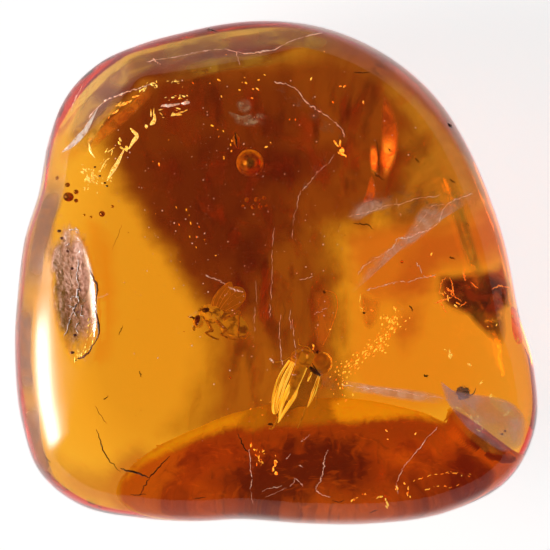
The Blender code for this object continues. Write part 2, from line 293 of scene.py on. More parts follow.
# The nugget, from its outline, its domed top, its worn flats and its flat foot
nuggetLook = {
    "height": 14.5,
    "girdleHeight": 6.0,
    "girdleSwell": 0.45,
    "girdleSwellAt": 290.0,
    "crownFullness": 2.8,
    "undersideFullness": 3.2,
    "undersideDepth": 0.55,
    "grid": 104,
    "ripple": 0.03,  # depth of the gentle unevenness that polishing leaves
    "rippleSize": 5.0,
    "outline": {
        -11: 17.25, -3: 16.45, 8: 15.95, 20: 15.7, 33: 15.9, 48: 16.45, 64: 16.95, 80: 17.35, 95: 17.55,
        110: 17.85, 120: 18.4, 130: 19.05, 139: 19.1, 150: 18.25, 161: 17.4, 172: 17.6, 184: 17.95,
        198: 19.05, 211: 20.5, 220: 21.4, 230: 21.0, 241: 19.4, 252: 18.1, 263: 17.2, 277: 17.5,
        291: 18.6, 306: 20.4, 318: 21.5, 329: 20.9, 339: 19.15,
    },
    # a point, the outward direction and the softness of each broad flat
    "flats": (
        ((0.0, 2.0, 13.9), (0.05, 0.03, 1.0), 0.9),
        ((-12.4, 11.6, 10.2), (-0.64, 0.60, 0.50), 0.35),
        ((-3.0, 15.5, 10.3), (-0.16, 0.88, 0.50), 0.35),
    ),
    # centre, half length, half width, turn and depth of each hollow
    "hollows": (((14.7, -10.35), 4.0, 1.75, -38.0, 0.55), ((-13.7, -1.7), 4.9, 1.45, 97.0, 0.45)),
    "nearFlatAt": (3.0, -8.5),
    "nearFlatBow": (13.3, 3.1),
    "nearFlatRun": 8.8,
    "nearFlatRise": 6.2,
    "nearFlatHollow": 1.3,
}


def outlineReach(angle):
    outline = nuggetLook["outline"]
    turns = sorted(outline)
    angle = (angle - turns[0]) % 360 + turns[0]
    last = max(i for i, turn in enumerate(turns) if turn <= angle)
    around = []
    for step in (-1, 0, 1, 2):
        laps, index = divmod(last + step, len(turns))
        around.append((turns[index] + 360 * laps, outline[turns[index]]))
    (a0, r0), (a1, r1), (a2, r2), (a3, r3) = around
    span = a2 - a1
    slopeIn, slopeOut = (r2 - r0) / (a2 - a0) * span, (r3 - r1) / (a3 - a1) * span
    t = (angle - a1) / span
    near, far = 2 * t**3 - 3 * t**2 + 1, 3 * t**2 - 2 * t**3
    return r1 * near + slopeIn * (t**3 - 2 * t**2 + t) + r2 * far + slopeOut * (t**3 - t**2)


def nuggetPoint(direction):
    look = nuggetLook
    angle = math.degrees(math.atan2(direction.y, direction.x))
    flatness = math.hypot(direction.x, direction.y)
    swell = look["girdleSwell"] * math.cos(math.radians(angle - look["girdleSwellAt"])) * flatness
    girdle = look["girdleHeight"] + swell
    if direction.z >= 0:
        fullness, rise = look["crownFullness"], look["height"] - girdle
    else:
        fullness, rise = look["undersideFullness"], -(girdle + look["undersideDepth"])
    reach = outlineReach(angle) * flatness ** (2 / fullness)
    x, y = reach * math.cos(math.radians(angle)), reach * math.sin(math.radians(angle))
    point = Vector((x, y, girdle + rise * abs(direction.z) ** (2 / fullness)))
    for place, outward, softness in look["flats"]:
        outward = Vector(outward).normalized()
        over = (point - Vector(place)).dot(outward)
        if over > -softness:
            blend = max(softness - abs(over), 0.0)
            point += outward * (min(over, 0.0) - blend * blend / (4 * softness) - over)
    if direction.z > 0:
        for (cx, cy), halfLength, halfWidth, turn, depth in look["hollows"]:
            along = turned((point.x - cx, point.y - cy), -turn)
            point.z -= depth * max(0.0, 1 - (along.x / halfLength) ** 2 - (along.y / halfWidth) ** 2)
    return point - direction * look["ripple"] * (1 + noise.noise(point / look["rippleSize"]))


def nearFlatLine(x):
    (x0, y0), (halfWidth, bow) = nuggetLook["nearFlatAt"], nuggetLook["nearFlatBow"]
    return y0 - bow * ((x - x0) / halfWidth) ** 2


def nearFlatHeight(x, y):
    climbed = (nearFlatLine(x) - y) / nuggetLook["nearFlatRun"]
    rise, hollow = nuggetLook["nearFlatRise"], nuggetLook["nearFlatHollow"]
    return rise * hollow * climbed if climbed < 0 else rise * (1 - max(1 - climbed, 0.0) ** hollow)


def nearFlatBlock(columns=64, rows=40, width=46.0, length=12.0):
    # what is ground away under the near side
    shape = bmesh.new()
    lines = []
    for step in range(-2, rows + 1):
        line = []
        for i in range(columns + 1):
            x = width * (i / columns - 0.5)
            y = nearFlatLine(x) - length * step / rows
            line.append(shape.verts.new((x, y, nearFlatHeight(x, y))))
        lines.append(line)
    for first, second in zip(lines, lines[1:]):
        for k in range(columns):
            shape.faces.new((first[k], first[k + 1], second[k + 1], second[k]))
    for part in bmesh.ops.extrude_face_region(shape, geom=shape.faces[:])["geom"]:
        if isinstance(part, bmesh.types.BMVert):
            part.co.z = -length
    bmesh.ops.recalc_face_normals(shape, faces=shape.faces)
    return shape


# The resin is darker in some places. Each stain lies on the underside and has an outline as it shows from above, the
# share of red, green and blue it lets through, how wide its edge is and how far the edge frays.
stains = {
    "wash": (((-10.3, 5), (-8.7, 2.8), (-7.5, 0.8), (-6.4, -1.3), (-5.6, -3.4), (-5.3, -5.5),
        (-5.8, -7.7), (-6.8, -9.6), (-8.2, -11.3), (-0.4, -11), (5.1, -10.2), (4.9, -7.4), (5.1, -4.6),
        (5.1, -1.2), (5.2, 2.3), (9.9, 3.5), (11.3, 6.4), (10.8, 9.5), (10, 11.7), (7.3, 14), (4, 15.8),
        (1.6, 16.1), (-1, 15.3), (-3.6, 15.5), (-6, 15.1), (-8.6, 14.4), (-10.7, 12.5), (-12.1, 11.7),
        (-13.2, 10.2), (-11.9, 8.5), (-11, 6.6)),
             (0.66, 0.57, 0.35), 1.8, 1.0),
    "brown": (((-11.4, 8.5), (-10.5, 5.9), (-9, 3.5), (-7.6, 1.6), (-6.4, -0.5), (-5.1, -2.4),
        (-4.3, -4.4), (-4.3, -6.6), (-4.7, -8.8), (-5.3, -10.7), (1.6, -10.6), (4.2, -10.2),
        (4.1, -6.8), (3.9, -3.9), (3.7, -1.2), (3.6, 1.6), (4.7, 3.5), (7.7, 4.1), (9.1, 6.4),
        (9.4, 9.2), (8.3, 11.7), (5.9, 13.9), (3.7, 14.9), (0.9, 14.6), (-1.8, 14.6), (-4.2, 15),
        (-6.7, 14.4), (-8.7, 13.6), (-10.3, 12.2), (-11.8, 10.7)),
              (0.42, 0.20, 0.2), 2.4, 1.0),
    "upper": (((-11.6, 9.7), (-10.7, 6), (-9, 3.5), (-7.5, 1.5), (-5.8, -0.8), (-4.2, -2.7),
        (-2.1, -3.1), (-1.1, -1.2), (-0.3, 1.3), (2, 2.8), (5.1, 3.9), (7.6, 4.6), (8.8, 6.7),
        (9.1, 9.2), (8.1, 11.5), (5.9, 13.8), (3.7, 15), (0.9, 14.9), (-3.6, 15.1), (-6.4, 14.7),
        (-8.7, 13.9), (-10.5, 12.4)),
              (0.45, 0.22, 0.2), 1.8, 0.8),
    "core": (((-11.1, 8.8), (-10.4, 6.1), (-9, 3.8), (-7.5, 1.7), (-6, -0.2), (-4.3, -1.9),
        (-2.5, -1.9), (-1, -0.6), (-0.6, 1.6), (0.5, 3.2), (1.6, 5.3), (2.2, 7.8), (2.3, 10.6),
        (1.6, 12.5), (-1, 13.2), (-3.6, 13.5), (-6, 13.9), (-8.2, 13.1), (-10.1, 11.7)),
             (0.54, 0.34, 0.3), 2.0, 1.0),
    "heart": (((-8.7, 7.1), (-7.7, 5), (-6, 2.8), (-4.2, 0.8), (-2.5, 0.8), (-1.8, 3.3), (-0.4, 5.4),
        (1.1, 7), (0.5, 8.5), (-1.8, 8.6), (-4.2, 9.2), (-6.7, 8.5)),
              (0.60, 0.40, 0.5), 2.4, 1.8),
    "redHeart": (((-1, 8.5), (1.6, 8.5), (3.8, 8.8), (4.4, 7.5), (3.1, 6.3), (0.9, 6.1), (-1, 6.8)),
        (0.62, 0.36, 0.4), 1.2, 1.2),
    "centre": (((-1.8, 2.8), (3.7, 3.1), (4.2, -1.2), (4.1, -4.6), (2.7, -5.3), (0.9, -6.1), (-1, -5.5),
        (-2.1, -2.6), (-2.2, 0.8)), (0.55, 0.38, 0.4), 2.4, 1.6),
    "rightWash": (((5.2, 2.6), (8.5, 3.5), (12.1, 4.1), (15.4, 3), (17.5, -1.9), (18.1, -7.4),
        (17.5, -10.8), (13.4, -10.2), (9.9, -9.1), (5.8, -9.3), (5.1, -4.6)),
                  (0.93, 0.62, 0.5), 2.2, 1.2),
    "rightUpper": (((4.7, 2.8), (8.5, 3.5), (11.3, 4), (15.4, 3.2), (15.4, 0.8), (11.3, 0.3),
        (10.2, -1.6), (9.1, -1.9), (8.8, -3.9), (8, -1.9), (5.8, -1.2), (4.9, 0.9)),
                   (0.72, 0.40, 0.6), 1.8, 1.4),
    "cloudRight": (((9.6, 2.3), (12, 2.8), (15.3, 2.8), (16.3, 0.8), (13.4, 0.3), (10.6, -0.1),
        (9.8, -3.9), (8.8, -5.5), (8.3, -3.2), (8.8, 0.2)),
                   (0.72, 0.46, 0.6), 1.8, 1.6),
    "far": (((3, 16.8), (8.5, 14.6), (12.1, 11.1), (14.5, 7.1), (15.6, 4), (13.4, 3.2), (9.9, 3.2),
        (7.4, 3.5), (8.3, 5.7), (9.6, 8.5), (8.5, 11.7), (6.2, 14), (3, 15.4)),
            (0.50, 0.34, 0.6), 1.6, 0.8),
    "farLeft": (((-15, 8.5), (-13.7, 11.1), (-12.2, 13.1), (-10.7, 12.5), (-12.2, 11.1), (-13.2, 9.6),
        (-14, 7.5)), (0.78, 0.50, 0.5), 1.0, 0.8),
    "nearLeft": (((-16.3, -12), (-14.3, -13.5), (-12.2, -13.5), (-10.7, -12.6), (-8.7, -12.2),
        (-8.7, -16.8), (-12.2, -16.8), (-15.1, -15.7)), (0.50, 0.26, 0.4), 1.8, 1.2),
    "nearPit": (((-12.9, 3.4), (-11.9, 2.6), (-11.2, 0.8), (-11.2, -1.9), (-11.5, -5), (-12.2, -6.4),
        (-12.7, -5.5), (-12.3, -3.6), (-12.3, -1.6), (-12.6, 0.8)), (0.95, 0.60, 0.3), 1.4, 0.8),
    "leftRim": (((-18.1, -1.9), (-17.4, 2.3), (-16.3, 5.4), (-15.4, 8.5), (-14.3, 8.5), (-15, 6.1),
        (-15.4, 4), (-15.7, 0.9), (-16.2, -1.9), (-16.5, -6), (-16.2, -9.5), (-16.8, -11.3), (-17.9, -7.4)),
                (0.62, 0.34, 0.6), 1.6, 0.8),
    "farSpot": (((-6.4, 16), (-5.4, 16.6), (-4.5, 17.1), (-3.5, 16.9), (-4.2, 16.2), (-5.1, 15.8)),
        (0.40, 0.30, 0.3), 1.0, 0.6),
    "redGlow": (((13.4, 0.8), (15.4, 1.2), (16.5, 0.2), (16.8, -1.9), (17.1, -4.6), (16.3, -5.2),
        (15.9, -3.2), (16.3, -1.2), (14.8, -0.5), (13.2, -0.2)), (0.92, 0.34, 0.3), 0.9, 0.5),
    "bark": (((11.2, -0.2), (12.1, -0.1), (12.9, 0), (13.8, 0.2), (14.7, 0.3), (15.6, -0.1),
        (16.3, -0.8), (16.5, -2.1), (16.3, -3.9), (15.9, -5), (14.8, -4.7), (14.2, -4.1), (13.6, -3.5),
        (13.1, -2.9), (12.3, -2.5), (11.6, -2.1), (11.4, -1.4)),
             (0.24, 0.05, 0.2), 0.7, 0.6),
}
# Where the polish is worn dull or rubbed matt, on the top itself
wornPatches = {
    "worn": ((-18.6, 3), (-16.3, 3.5), (-13.6, 3.4), (-11.9, 0.8), (-11.8, -3.9), (-12.3, -7.7),
        (-13.7, -10.8), (-15, -13.6), (-17, -12.9), (-18.6, -8.8), (-18.8, -1.9)),
}


def amberFinish():
    shade = Shade("polishedAmber")
    fray = shade.cloudy(2.4, 2.5) - 0.5
    tone = (1.0, 1.0, 1.0)
    for name, (_outline, letsThrough, edge, frayed) in stains.items():
        mask = shade.fade(shade.marked(name) + fray * (2 * frayed), -edge / 2, edge / 2)
        tone = shade.stain(tone, mask, letsThrough)
    grain = shade.fade(shade.cloudy(1.1, 5.0, stretch=(1.0, 0.45, 1.0), distortion=0.7), 0.42, 0.72)
    tone = shade.stain(tone, grain * shade.fade(shade.marked("wash"), -0.5, 1.5), (0.72, 0.55, 0.5))
    haze = shade.fade(shade.cloudy(2.5, 2.0), 0.45, 0.8)
    dull = shade.fade(shade.marked("worn") + fray, -0.6, 1.6)
    scratches = shade.cloudy(0.35, 2.0, stretch=(1.0, 0.08, 1.0))
    rubs = shade.cloudy(0.9, 2.0)
    body = shade.principled(
        BaseColor=tone, Roughness=haze * 0.04 + dull * 0.22, IOR=amberIor, TransmissionWeight=1.0,
        Normal=shade.bump(scratches + rubs, 0.0015),
    )
    return shade.wear(body, shade.absorb(14.0, (0.93, 0.355, 0.010)))


def makeNugget():
    shape = bmesh.new()
    bmesh.ops.create_cube(shape, size=2.0)
    bmesh.ops.subdivide_edges(shape, edges=shape.edges, cuts=nuggetLook["grid"] - 1, use_grid_fill=True)
    for vert in shape.verts:
        even = Vector([math.tan(math.radians(45) * c) for c in vert.co])
        vert.co = nuggetPoint(even.normalized())
    bmesh.ops.recalc_face_normals(shape, faces=shape.faces)
    plain = bpy.data.materials.new("plain")
    rough = toObject("roughNugget", shape, plain)
    # the facet's own points have to be close enough for its stains
    block = bmesh.new()
    bmesh.ops.create_grid(block, size=30.0, x_segments=120, y_segments=120)
    for part in bmesh.ops.extrude_face_region(block, geom=block.faces[:])["geom"]:
        if isinstance(part, bmesh.types.BMVert):
            part.co.z = -20.0
    bmesh.ops.recalc_face_normals(block, faces=block.faces)
    helpers = [toObject("underFacet", block, plain), toObject("underNearFlat", nearFlatBlock(), plain)]
    for helper in helpers:
        cut = rough.modifiers.new(helper.name, "BOOLEAN")
        cut.operation = "DIFFERENCE"
        cut.object = helper
    ready = rough.evaluated_get(bpy.context.evaluated_depsgraph_get())
    shape = bmesh.new()
    shape.from_mesh(ready.to_mesh())
    for obj in (rough, *helpers):
        bpy.data.objects.remove(obj, do_unlink=True)
    bmesh.ops.dissolve_degenerate(shape, dist=1e-7, edges=shape.edges)
    bmesh.ops.recalc_face_normals(shape, faces=shape.faces)
    bmesh.ops.scale(shape, vec=(1 / mm, 1 / mm, 1 / mm), verts=shape.verts)
    surface = BVHTree.FromBMesh(shape)
    piece = toObject("clearAmber", shape, amberFinish(), "amber")
    piece.data.set_sharp_from_angle(angle=math.radians(22))
    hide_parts("amber_upper", "amber_lower")
    return piece, surface


nugget, surface = makeNugget()


def lineOfSight(x, y):
    # from the camera to the polished surface, and on as the amber bends it; a place past the rim is drawn in to it
    eye = Vector(studio["cameraAt"])
    point = None
    while point is None:
        ahead = (Vector((x, y, studio["viewLevel"])) - eye).normalized()
        point, outward, _face, _far = surface.ray_cast(eye, ahead)
        x, y = x * 0.99, y * 0.99
    cosine = -ahead.dot(outward)
    ratio = 1 / amberIor
    bent = ratio * ahead + (ratio * cosine - math.sqrt(1 - ratio**2 * (1 - cosine**2))) * outward
    return point, outward, bent


def showsAt(place, level):
    point, _outward, bent = lineOfSight(*place)
    return point + bent * max((level - point.z) / bent.z, 0.05)


def underTop(place, depth):
    # just below the surface
    point, outward, _bent = lineOfSight(*place)
    return point - outward * depth


def showsWhere(point):
    # the place at which a point of the underside shows: a guess, moved until its line of sight meets the point
    place = point.xy
    for _ in range(4):
        start, _outward, bent = lineOfSight(*place)
        met = surface.ray_cast(start + bent * 0.01, bent)[0]
        if met is None:
            break
        place = place + point.xy - met.xy
    return place


def smoothFlat(outline, steps=5):
    return [p.xy for p in smoothPath([(*p, 0.0) for p in outline], steps, closed=True)]


def depthInside(place, outline, margin=4.0):
    # distance to an outline, negative outside it
    nearest, inside = margin, False
    for a, b in zip(outline, outline[1:] + outline[:1]):
        stepX, stepY, offX, offY = b.x - a.x, b.y - a.y, place.x - a.x, place.y - a.y
        t = min(max((offX * stepX + offY * stepY) / (stepX**2 + stepY**2), 0.0), 1.0)
        nearest = min(nearest, math.hypot(offX - stepX * t, offY - stepY * t))
        if (a.y > place.y) != (b.y > place.y) and offX < stepX * offY / stepY:
            inside = not inside
    return nearest if inside else -nearest


def markDepth(mesh, name, outline, places):
    # keeps with each point how deep its place lies inside an outline; a point without a place lies outside
    outline = smoothFlat(outline, 2)
    near, far = (Vector((reach(p.x for p in outline), reach(p.y for p in outline))) for reach in (min, max))
    depths = []
    for place in places:
        close = place and near.x - 4 < place.x < far.x + 4 and near.y - 4 < place.y < far.y + 4
        depths.append(depthInside(place, outline) if close else -4.0)
    mesh.attributes.new(name, "FLOAT", "POINT").data.foreach_set("value", depths)


def stainNugget():
    mesh = nugget.data
    below = [None] * len(mesh.vertices)
    above = [None] * len(mesh.vertices)
    for vert in mesh.vertices:
        point = vert.co / mm
        if vert.normal.z < 0 and point.z < 7.0:
            below[vert.index] = showsWhere(point)
        elif vert.normal.z > 0:
            above[vert.index] = point.xy
    for name, (outline, *_rest) in stains.items():
        markDepth(mesh, name, outline, below)
    for name, outline in wornPatches.items():
        markDepth(mesh, name, outline, above)


stainNugget()
print("nugget:", len(nugget.data.polygons), "faces and", len(stains), "stains")


# The reddened rind left on the near underside. Its glow is painted light, and its darkest places are painted
# reflections:
# the dark core and dark surroundings that the band shows by total reflection
# Places in it that are darker or paler than the rest: outline as it shows, colour, width of the edge and how it frays
rindShadesAndReflections = {
    "rindTip": (((-11.9, -14.3), (-11.4, -12.8), (-9.4, -12), (-7.4, -11.3), (-6.3, -12), (-6.9, -13.3),
        (-8.1, -15.1), (-10.1, -16)), (0.50, 0.18, 0.010), 1.8, 1.8),
    "rindBand": (((-8.7, -11.5), (-4.6, -10.4), (1.6, -10), (7.8, -9.3), (11.3, -10), (10.6, -11.3),
        (3.7, -11.8), (-3.9, -12)), (0.33, 0.095, 0.003), 1.6, 1.2),
    "rindHeart": (((-3.8, -14.2), (-1.8, -13.1), (0.6, -12.1), (3.7, -11.8), (5.9, -12.4), (6.6, -13.8),
        (5.2, -15), (3.1, -14.6), (1.6, -15.7), (-1.8, -16.1)),
                  (0.085, 0.010, 0.001), 2.8, 2.2),
    "rindEnd": (((11.3, -15.7), (11.7, -13.6), (13.4, -12.4), (15.4, -12.6), (17.5, -10.8), (16.8, -14),
        (14.8, -16), (11.3, -17.2)), (0.13, 0.012, 0.001), 2.0, 1.6),
    "rindGold": (((-12.2, -15.7), (-10.8, -14.2), (-8.7, -12.4), (-6, -10.7), (-3.4, -9.6), (-1, -9.1),
        (-1, -10.3), (-2.9, -10.6), (-5.3, -11.3), (-7.7, -12.3), (-9.4, -13.1), (-10.7, -14.2)),
                 (0.82, 0.72, 0.030), 0.8, 0.3),
    "rindDusk": (((-2.5, -9.6), (-0.4, -8.9), (1.6, -8.5), (4.4, -8.6), (5.1, -9.5), (4.1, -10.2),
        (1.6, -10.4), (-1, -10.6), (-2.5, -10.8)), (0.46, 0.33, 0.012), 0.8, 0.3),
    "rindOrange": (((4.1, -8.5), (7.2, -8.4), (9.9, -8.8), (12, -9.6), (12.4, -10.2), (11.3, -10.2),
        (9.9, -9.8), (7.2, -10), (5.1, -10.3), (4, -9.9)),
                   (0.86, 0.72, 0.035), 0.7, 0.3),
    "rindEdge": (((-15, -15), (-8.7, -16.2), (-1.8, -16.8), (5.1, -17.1), (11.3, -16.5), (15.4, -15),
        (15.4, -18.4), (-15, -18.4)), (0.16, 0.018, 0.001), 1.4, 1.4),
}


def rindFinishWithPaintedGlow():
    shade = Shade("reddenedRindPaintedGlow")
    flow = shade.cloudy(4.0, 4.0, stretch=(0.6, 1.0, 1.0), distortion=0.8)
    fine = shade.cloudy(0.8, 4.0, distortion=1.0)
    threads = shade.fade(shade.cloudy(0.5, 3.0, stretch=(0.35, 1.0, 1.0), distortion=1.6), 0.55, 0.75)
    tone = shade.ramp(
        flow * 0.75 + fine * 0.25,
        (0.34, (0.19, 0.032, 0.001)), (0.50, (0.37, 0.085, 0.003)), (0.66, (0.60, 0.18, 0.008)),
    )
    for name, (_outline, color, edge, frayed) in rindShadesAndReflections.items():
        mask = shade.fade(shade.marked(name) + (fine + flow - 1.0) * (2 * frayed), -edge / 2, edge / 2)
        tone = shade.mix(mask * 0.92, tone, color)
    tone = shade.mix(threads * 0.25, tone, (0.75, 0.22, 0.02))
    # the glow is painted light, standing in for the light this band shows by total reflection
    body = shade.principled(
        BaseColor=tone, Roughness=0.5, Normal=shade.bump(fine, 0.08), EmissionColor=tone, EmissionStrength=0.8
    )
    cover = (shade.fade(fine, 0.2, 0.6) * 0.12 + 0.80) * shade.fade(shade.marked("into") + fine - 0.5, -1.2, -0.2)
    return shade.wear(shade.seeThrough(body, cover))


def makeRind():
    shape = bmesh.new()
    shape.from_mesh(nugget.data)
    bmesh.ops.scale(shape, vec=(1 / mm, 1 / mm, 1 / mm), verts=shape.verts)
    shape.normal_update()
    off = []
    for face in shape.faces:
        where = face.calc_center_median()
        onFlat = abs(where.z - nearFlatHeight(where.x, where.y)) < 0.03 and face.normal.z < -0.4 and where.z > 0.01
        if not onFlat:
            off.append(face)
    bmesh.ops.delete(shape, geom=off, context="FACES")
    shape.normal_update()
    for vert in shape.verts:
        vert.co -= vert.normal * 0.08
    piece = toObject("nearRind", shape, rindFinishWithPaintedGlow(), "amber")
    places = [showsWhere(vert.co / mm) for vert in piece.data.vertices]
    for name, (outline, *_rest) in rindShadesAndReflections.items():
        markDepth(piece.data, name, outline, places)
    # how far each point lies inside the flat's far edge
    into = [nearFlatLine(vert.co.x / mm) - vert.co.y / mm for vert in piece.data.vertices]
    piece.data.attributes.new("into", "FLOAT", "POINT").data.foreach_set("value", into)


makeRind()
print("rind made")


# The long-legged fly, seen from its side: x to its tail, y to its back, z towards the eye
flyLook = {
    "place": (-4.45, -2.85, 8.2),
    "turn": -6.0,
    "thorax": ((0.0, 0.0, 0.0), (0.86, 0.64, 0.50)),
    "head": ((-0.86, -0.60, 0.0), (0.36, 0.44, 0.38)),
    "eye": ((-0.92, -0.52, 0.20), (0.20, 0.36, 0.24)),
    "abdomen": ((0.55, -0.15, 0.0), (1.10, -0.42, 0.0), (1.65, -0.62, 0.0), (2.15, -0.78, 0.0), (2.50, -0.88, 0.0)),
    "abdomenRadii": (0.36, 0.70, 0.74, 0.52, 0.22),
    "abdomenFlat": 0.66,  # how thick it is to how deep
    "nearWing": ((0.02, 0.40), (-0.05, 0.95), (0.22, 1.55), (0.62, 2.05), (0.95, 2.30), (1.15, 2.18),
                 (1.20, 1.65), (1.10, 1.05), (0.80, 0.42)),
    "farWing": ((0.30, 0.38), (0.55, 1.10), (0.90, 1.75), (1.35, 2.00), (1.85, 1.95), (2.12, 1.60), (2.08, 1.10),
                (1.72, 0.62), (1.25, 0.28)),
    "nearVeins": (
        ((0.02, 0.40), (0.05, 1.0), (0.35, 1.60), (0.92, 2.26)), ((0.20, 0.35), (0.35, 1.0), (0.62, 1.6), (1.02, 2.2)),
        ((0.35, 0.35), (0.60, 1.0), (0.85, 1.5), (1.12, 1.95)), ((0.50, 0.35), (0.80, 0.9), (1.12, 1.35)),
        ((0.42, 1.20), (0.68, 1.10)),
    ),
    "farVeins": (
        ((0.30, 0.38), (0.60, 1.10), (0.95, 1.72), (1.40, 1.98)), ((0.50, 0.35), (1.00, 1.20), (1.75, 1.93)),
        ((0.70, 0.35), (1.30, 1.05), (2.05, 1.58)), ((0.90, 0.32), (1.50, 0.75), (2.04, 1.08)),
        ((1.05, 1.25), (1.28, 1.02)), ((1.40, 1.42), (1.62, 1.22)),
    ),
    "wingSpread": 0.24,
    "patch": ((-0.36, 0.20, 0.34), (0.34, 0.20, 0.14)),
    # femur, tibia and tarsus joints of the legs on the near side, and the radii
    "legs": (
        ((0.85, -0.30, 0.30), (1.80, 0.30, 0.42), (1.95, -1.35, 0.50), (2.35, -1.40, 0.45), (2.70, -1.15, 0.40)),
        ((0.35, -0.40, 0.30), (1.10, -0.95, 0.45), (0.75, -1.30, 0.50), (1.35, -1.52, 0.45), (1.85, -1.55, 0.35)),
        ((-0.30, -0.45, 0.25), (0.10, -1.10, 0.40), (-0.30, -1.30, 0.45), (0.20, -1.55, 0.40), (0.65, -1.66, 0.30)),
    ),
    "legRadii": (0.13, 0.10, 0.07, 0.06, 0.045, 0.035),
    "antenna": ((-1.15, -0.42, 0.12), (-1.30, -0.34, 0.16), (-1.44, -0.38, 0.18)),
    "proboscis": ((-1.05, -0.92, 0.0), (-1.12, -1.10, 0.0), (-1.02, -1.22, 0.0)),
}


def inBody(look, point):
    point = Vector(point)
    flat = turned(point.xy, look["turn"])
    return Vector(look["place"]) + Vector((flat.x, flat.y, point.z))


def chitin(name, pale, dark, patch=1.2, rough=0.32, glow=0.0):
    # glow stands in for the light that thin, honey-coloured shell lets through
    shade = Shade(name)
    tone = shade.mix(shade.fade(shade.cloudy(patch, 5.0, distortion=0.6), 0.40, 0.66), pale, dark)
    grain = shade.cloudy(0.12, 3.0)
    body = shade.principled(
        BaseColor=tone, Roughness=grain * 0.25 + rough, CoatWeight=0.3, Normal=shade.bump(grain, 0.02),
        EmissionColor=tone, EmissionStrength=glow,
    )
    return shade.wear(body)


def eyeFinish():
    shade = Shade("flyEye")
    facets = shade.cells(0.06)
    tone = shade.fade(shade.cloudy(0.3, 2.0), 0.35, 0.65)
    body = shade.principled(
        BaseColor=shade.mix(tone, (0.20, 0.025, 0.004), (0.42, 0.08, 0.01)), Roughness=0.25, CoatWeight=0.5,
        Normal=shade.bump(shade.fade(facets, 0.0, 0.12), 0.02),
    )
    return shade.wear(body)


def wingFinish(name, tint, cover, glow):
    shade = Shade(name)
    ripple = shade.cloudy(0.25, 3.0, stretch=(1.0, 0.35, 1.0))
    tone = shade.mix(ripple, tint, [part * 0.55 for part in tint])
    # glow is painted light, standing in for the light the thin film catches and lets through
    body = shade.principled(
        BaseColor=tone, Roughness=0.22, CoatWeight=0.4, Normal=shade.bump(ripple, 0.03), EmissionColor=tone,
        EmissionStrength=glow,
    )
    return shade.wear(shade.seeThrough(body, shade.fade(ripple, 0.25, 0.75) * 0.25 + cover))


def addBristles(shape, rng, spots, length, radius, slot):
    for point, outward in spots:
        lean = Vector([rng.uniform(-0.35, 0.35) for _ in range(3)])
        tip = point + (outward + lean).normalized() * length * rng.uniform(0.6, 1.2)
        bend = (point + tip) / 2 + lean * length * 0.15
        addTube(shape, [point - outward * radius, bend, tip], (radius, radius * 0.7, radius * 0.2), 4, slot)


def addWing(shape, look, outline, veins, height, camber, slot, veinSlot):
    rim = smoothPath([inBody(look, (x, y, height)) for x, y in outline], 6, closed=True)
    addLens(shape, rim, 0.012, rings=8, bulge=camber, crisp=0.3, lump=0.4, lumpSize=0.3, slot=slot)
    addTube(shape, rim[: len(rim) * 6 // 9], (0.028, 0.022, 0.010), 5, veinSlot)
    for vein in veins:
        line = smoothPath([inBody(look, (x, y, height + 0.02 + abs(camber) * 0.6)) for x, y in vein], 5)
        addTube(shape, line, (0.024, 0.016, 0.009), 5, veinSlot)


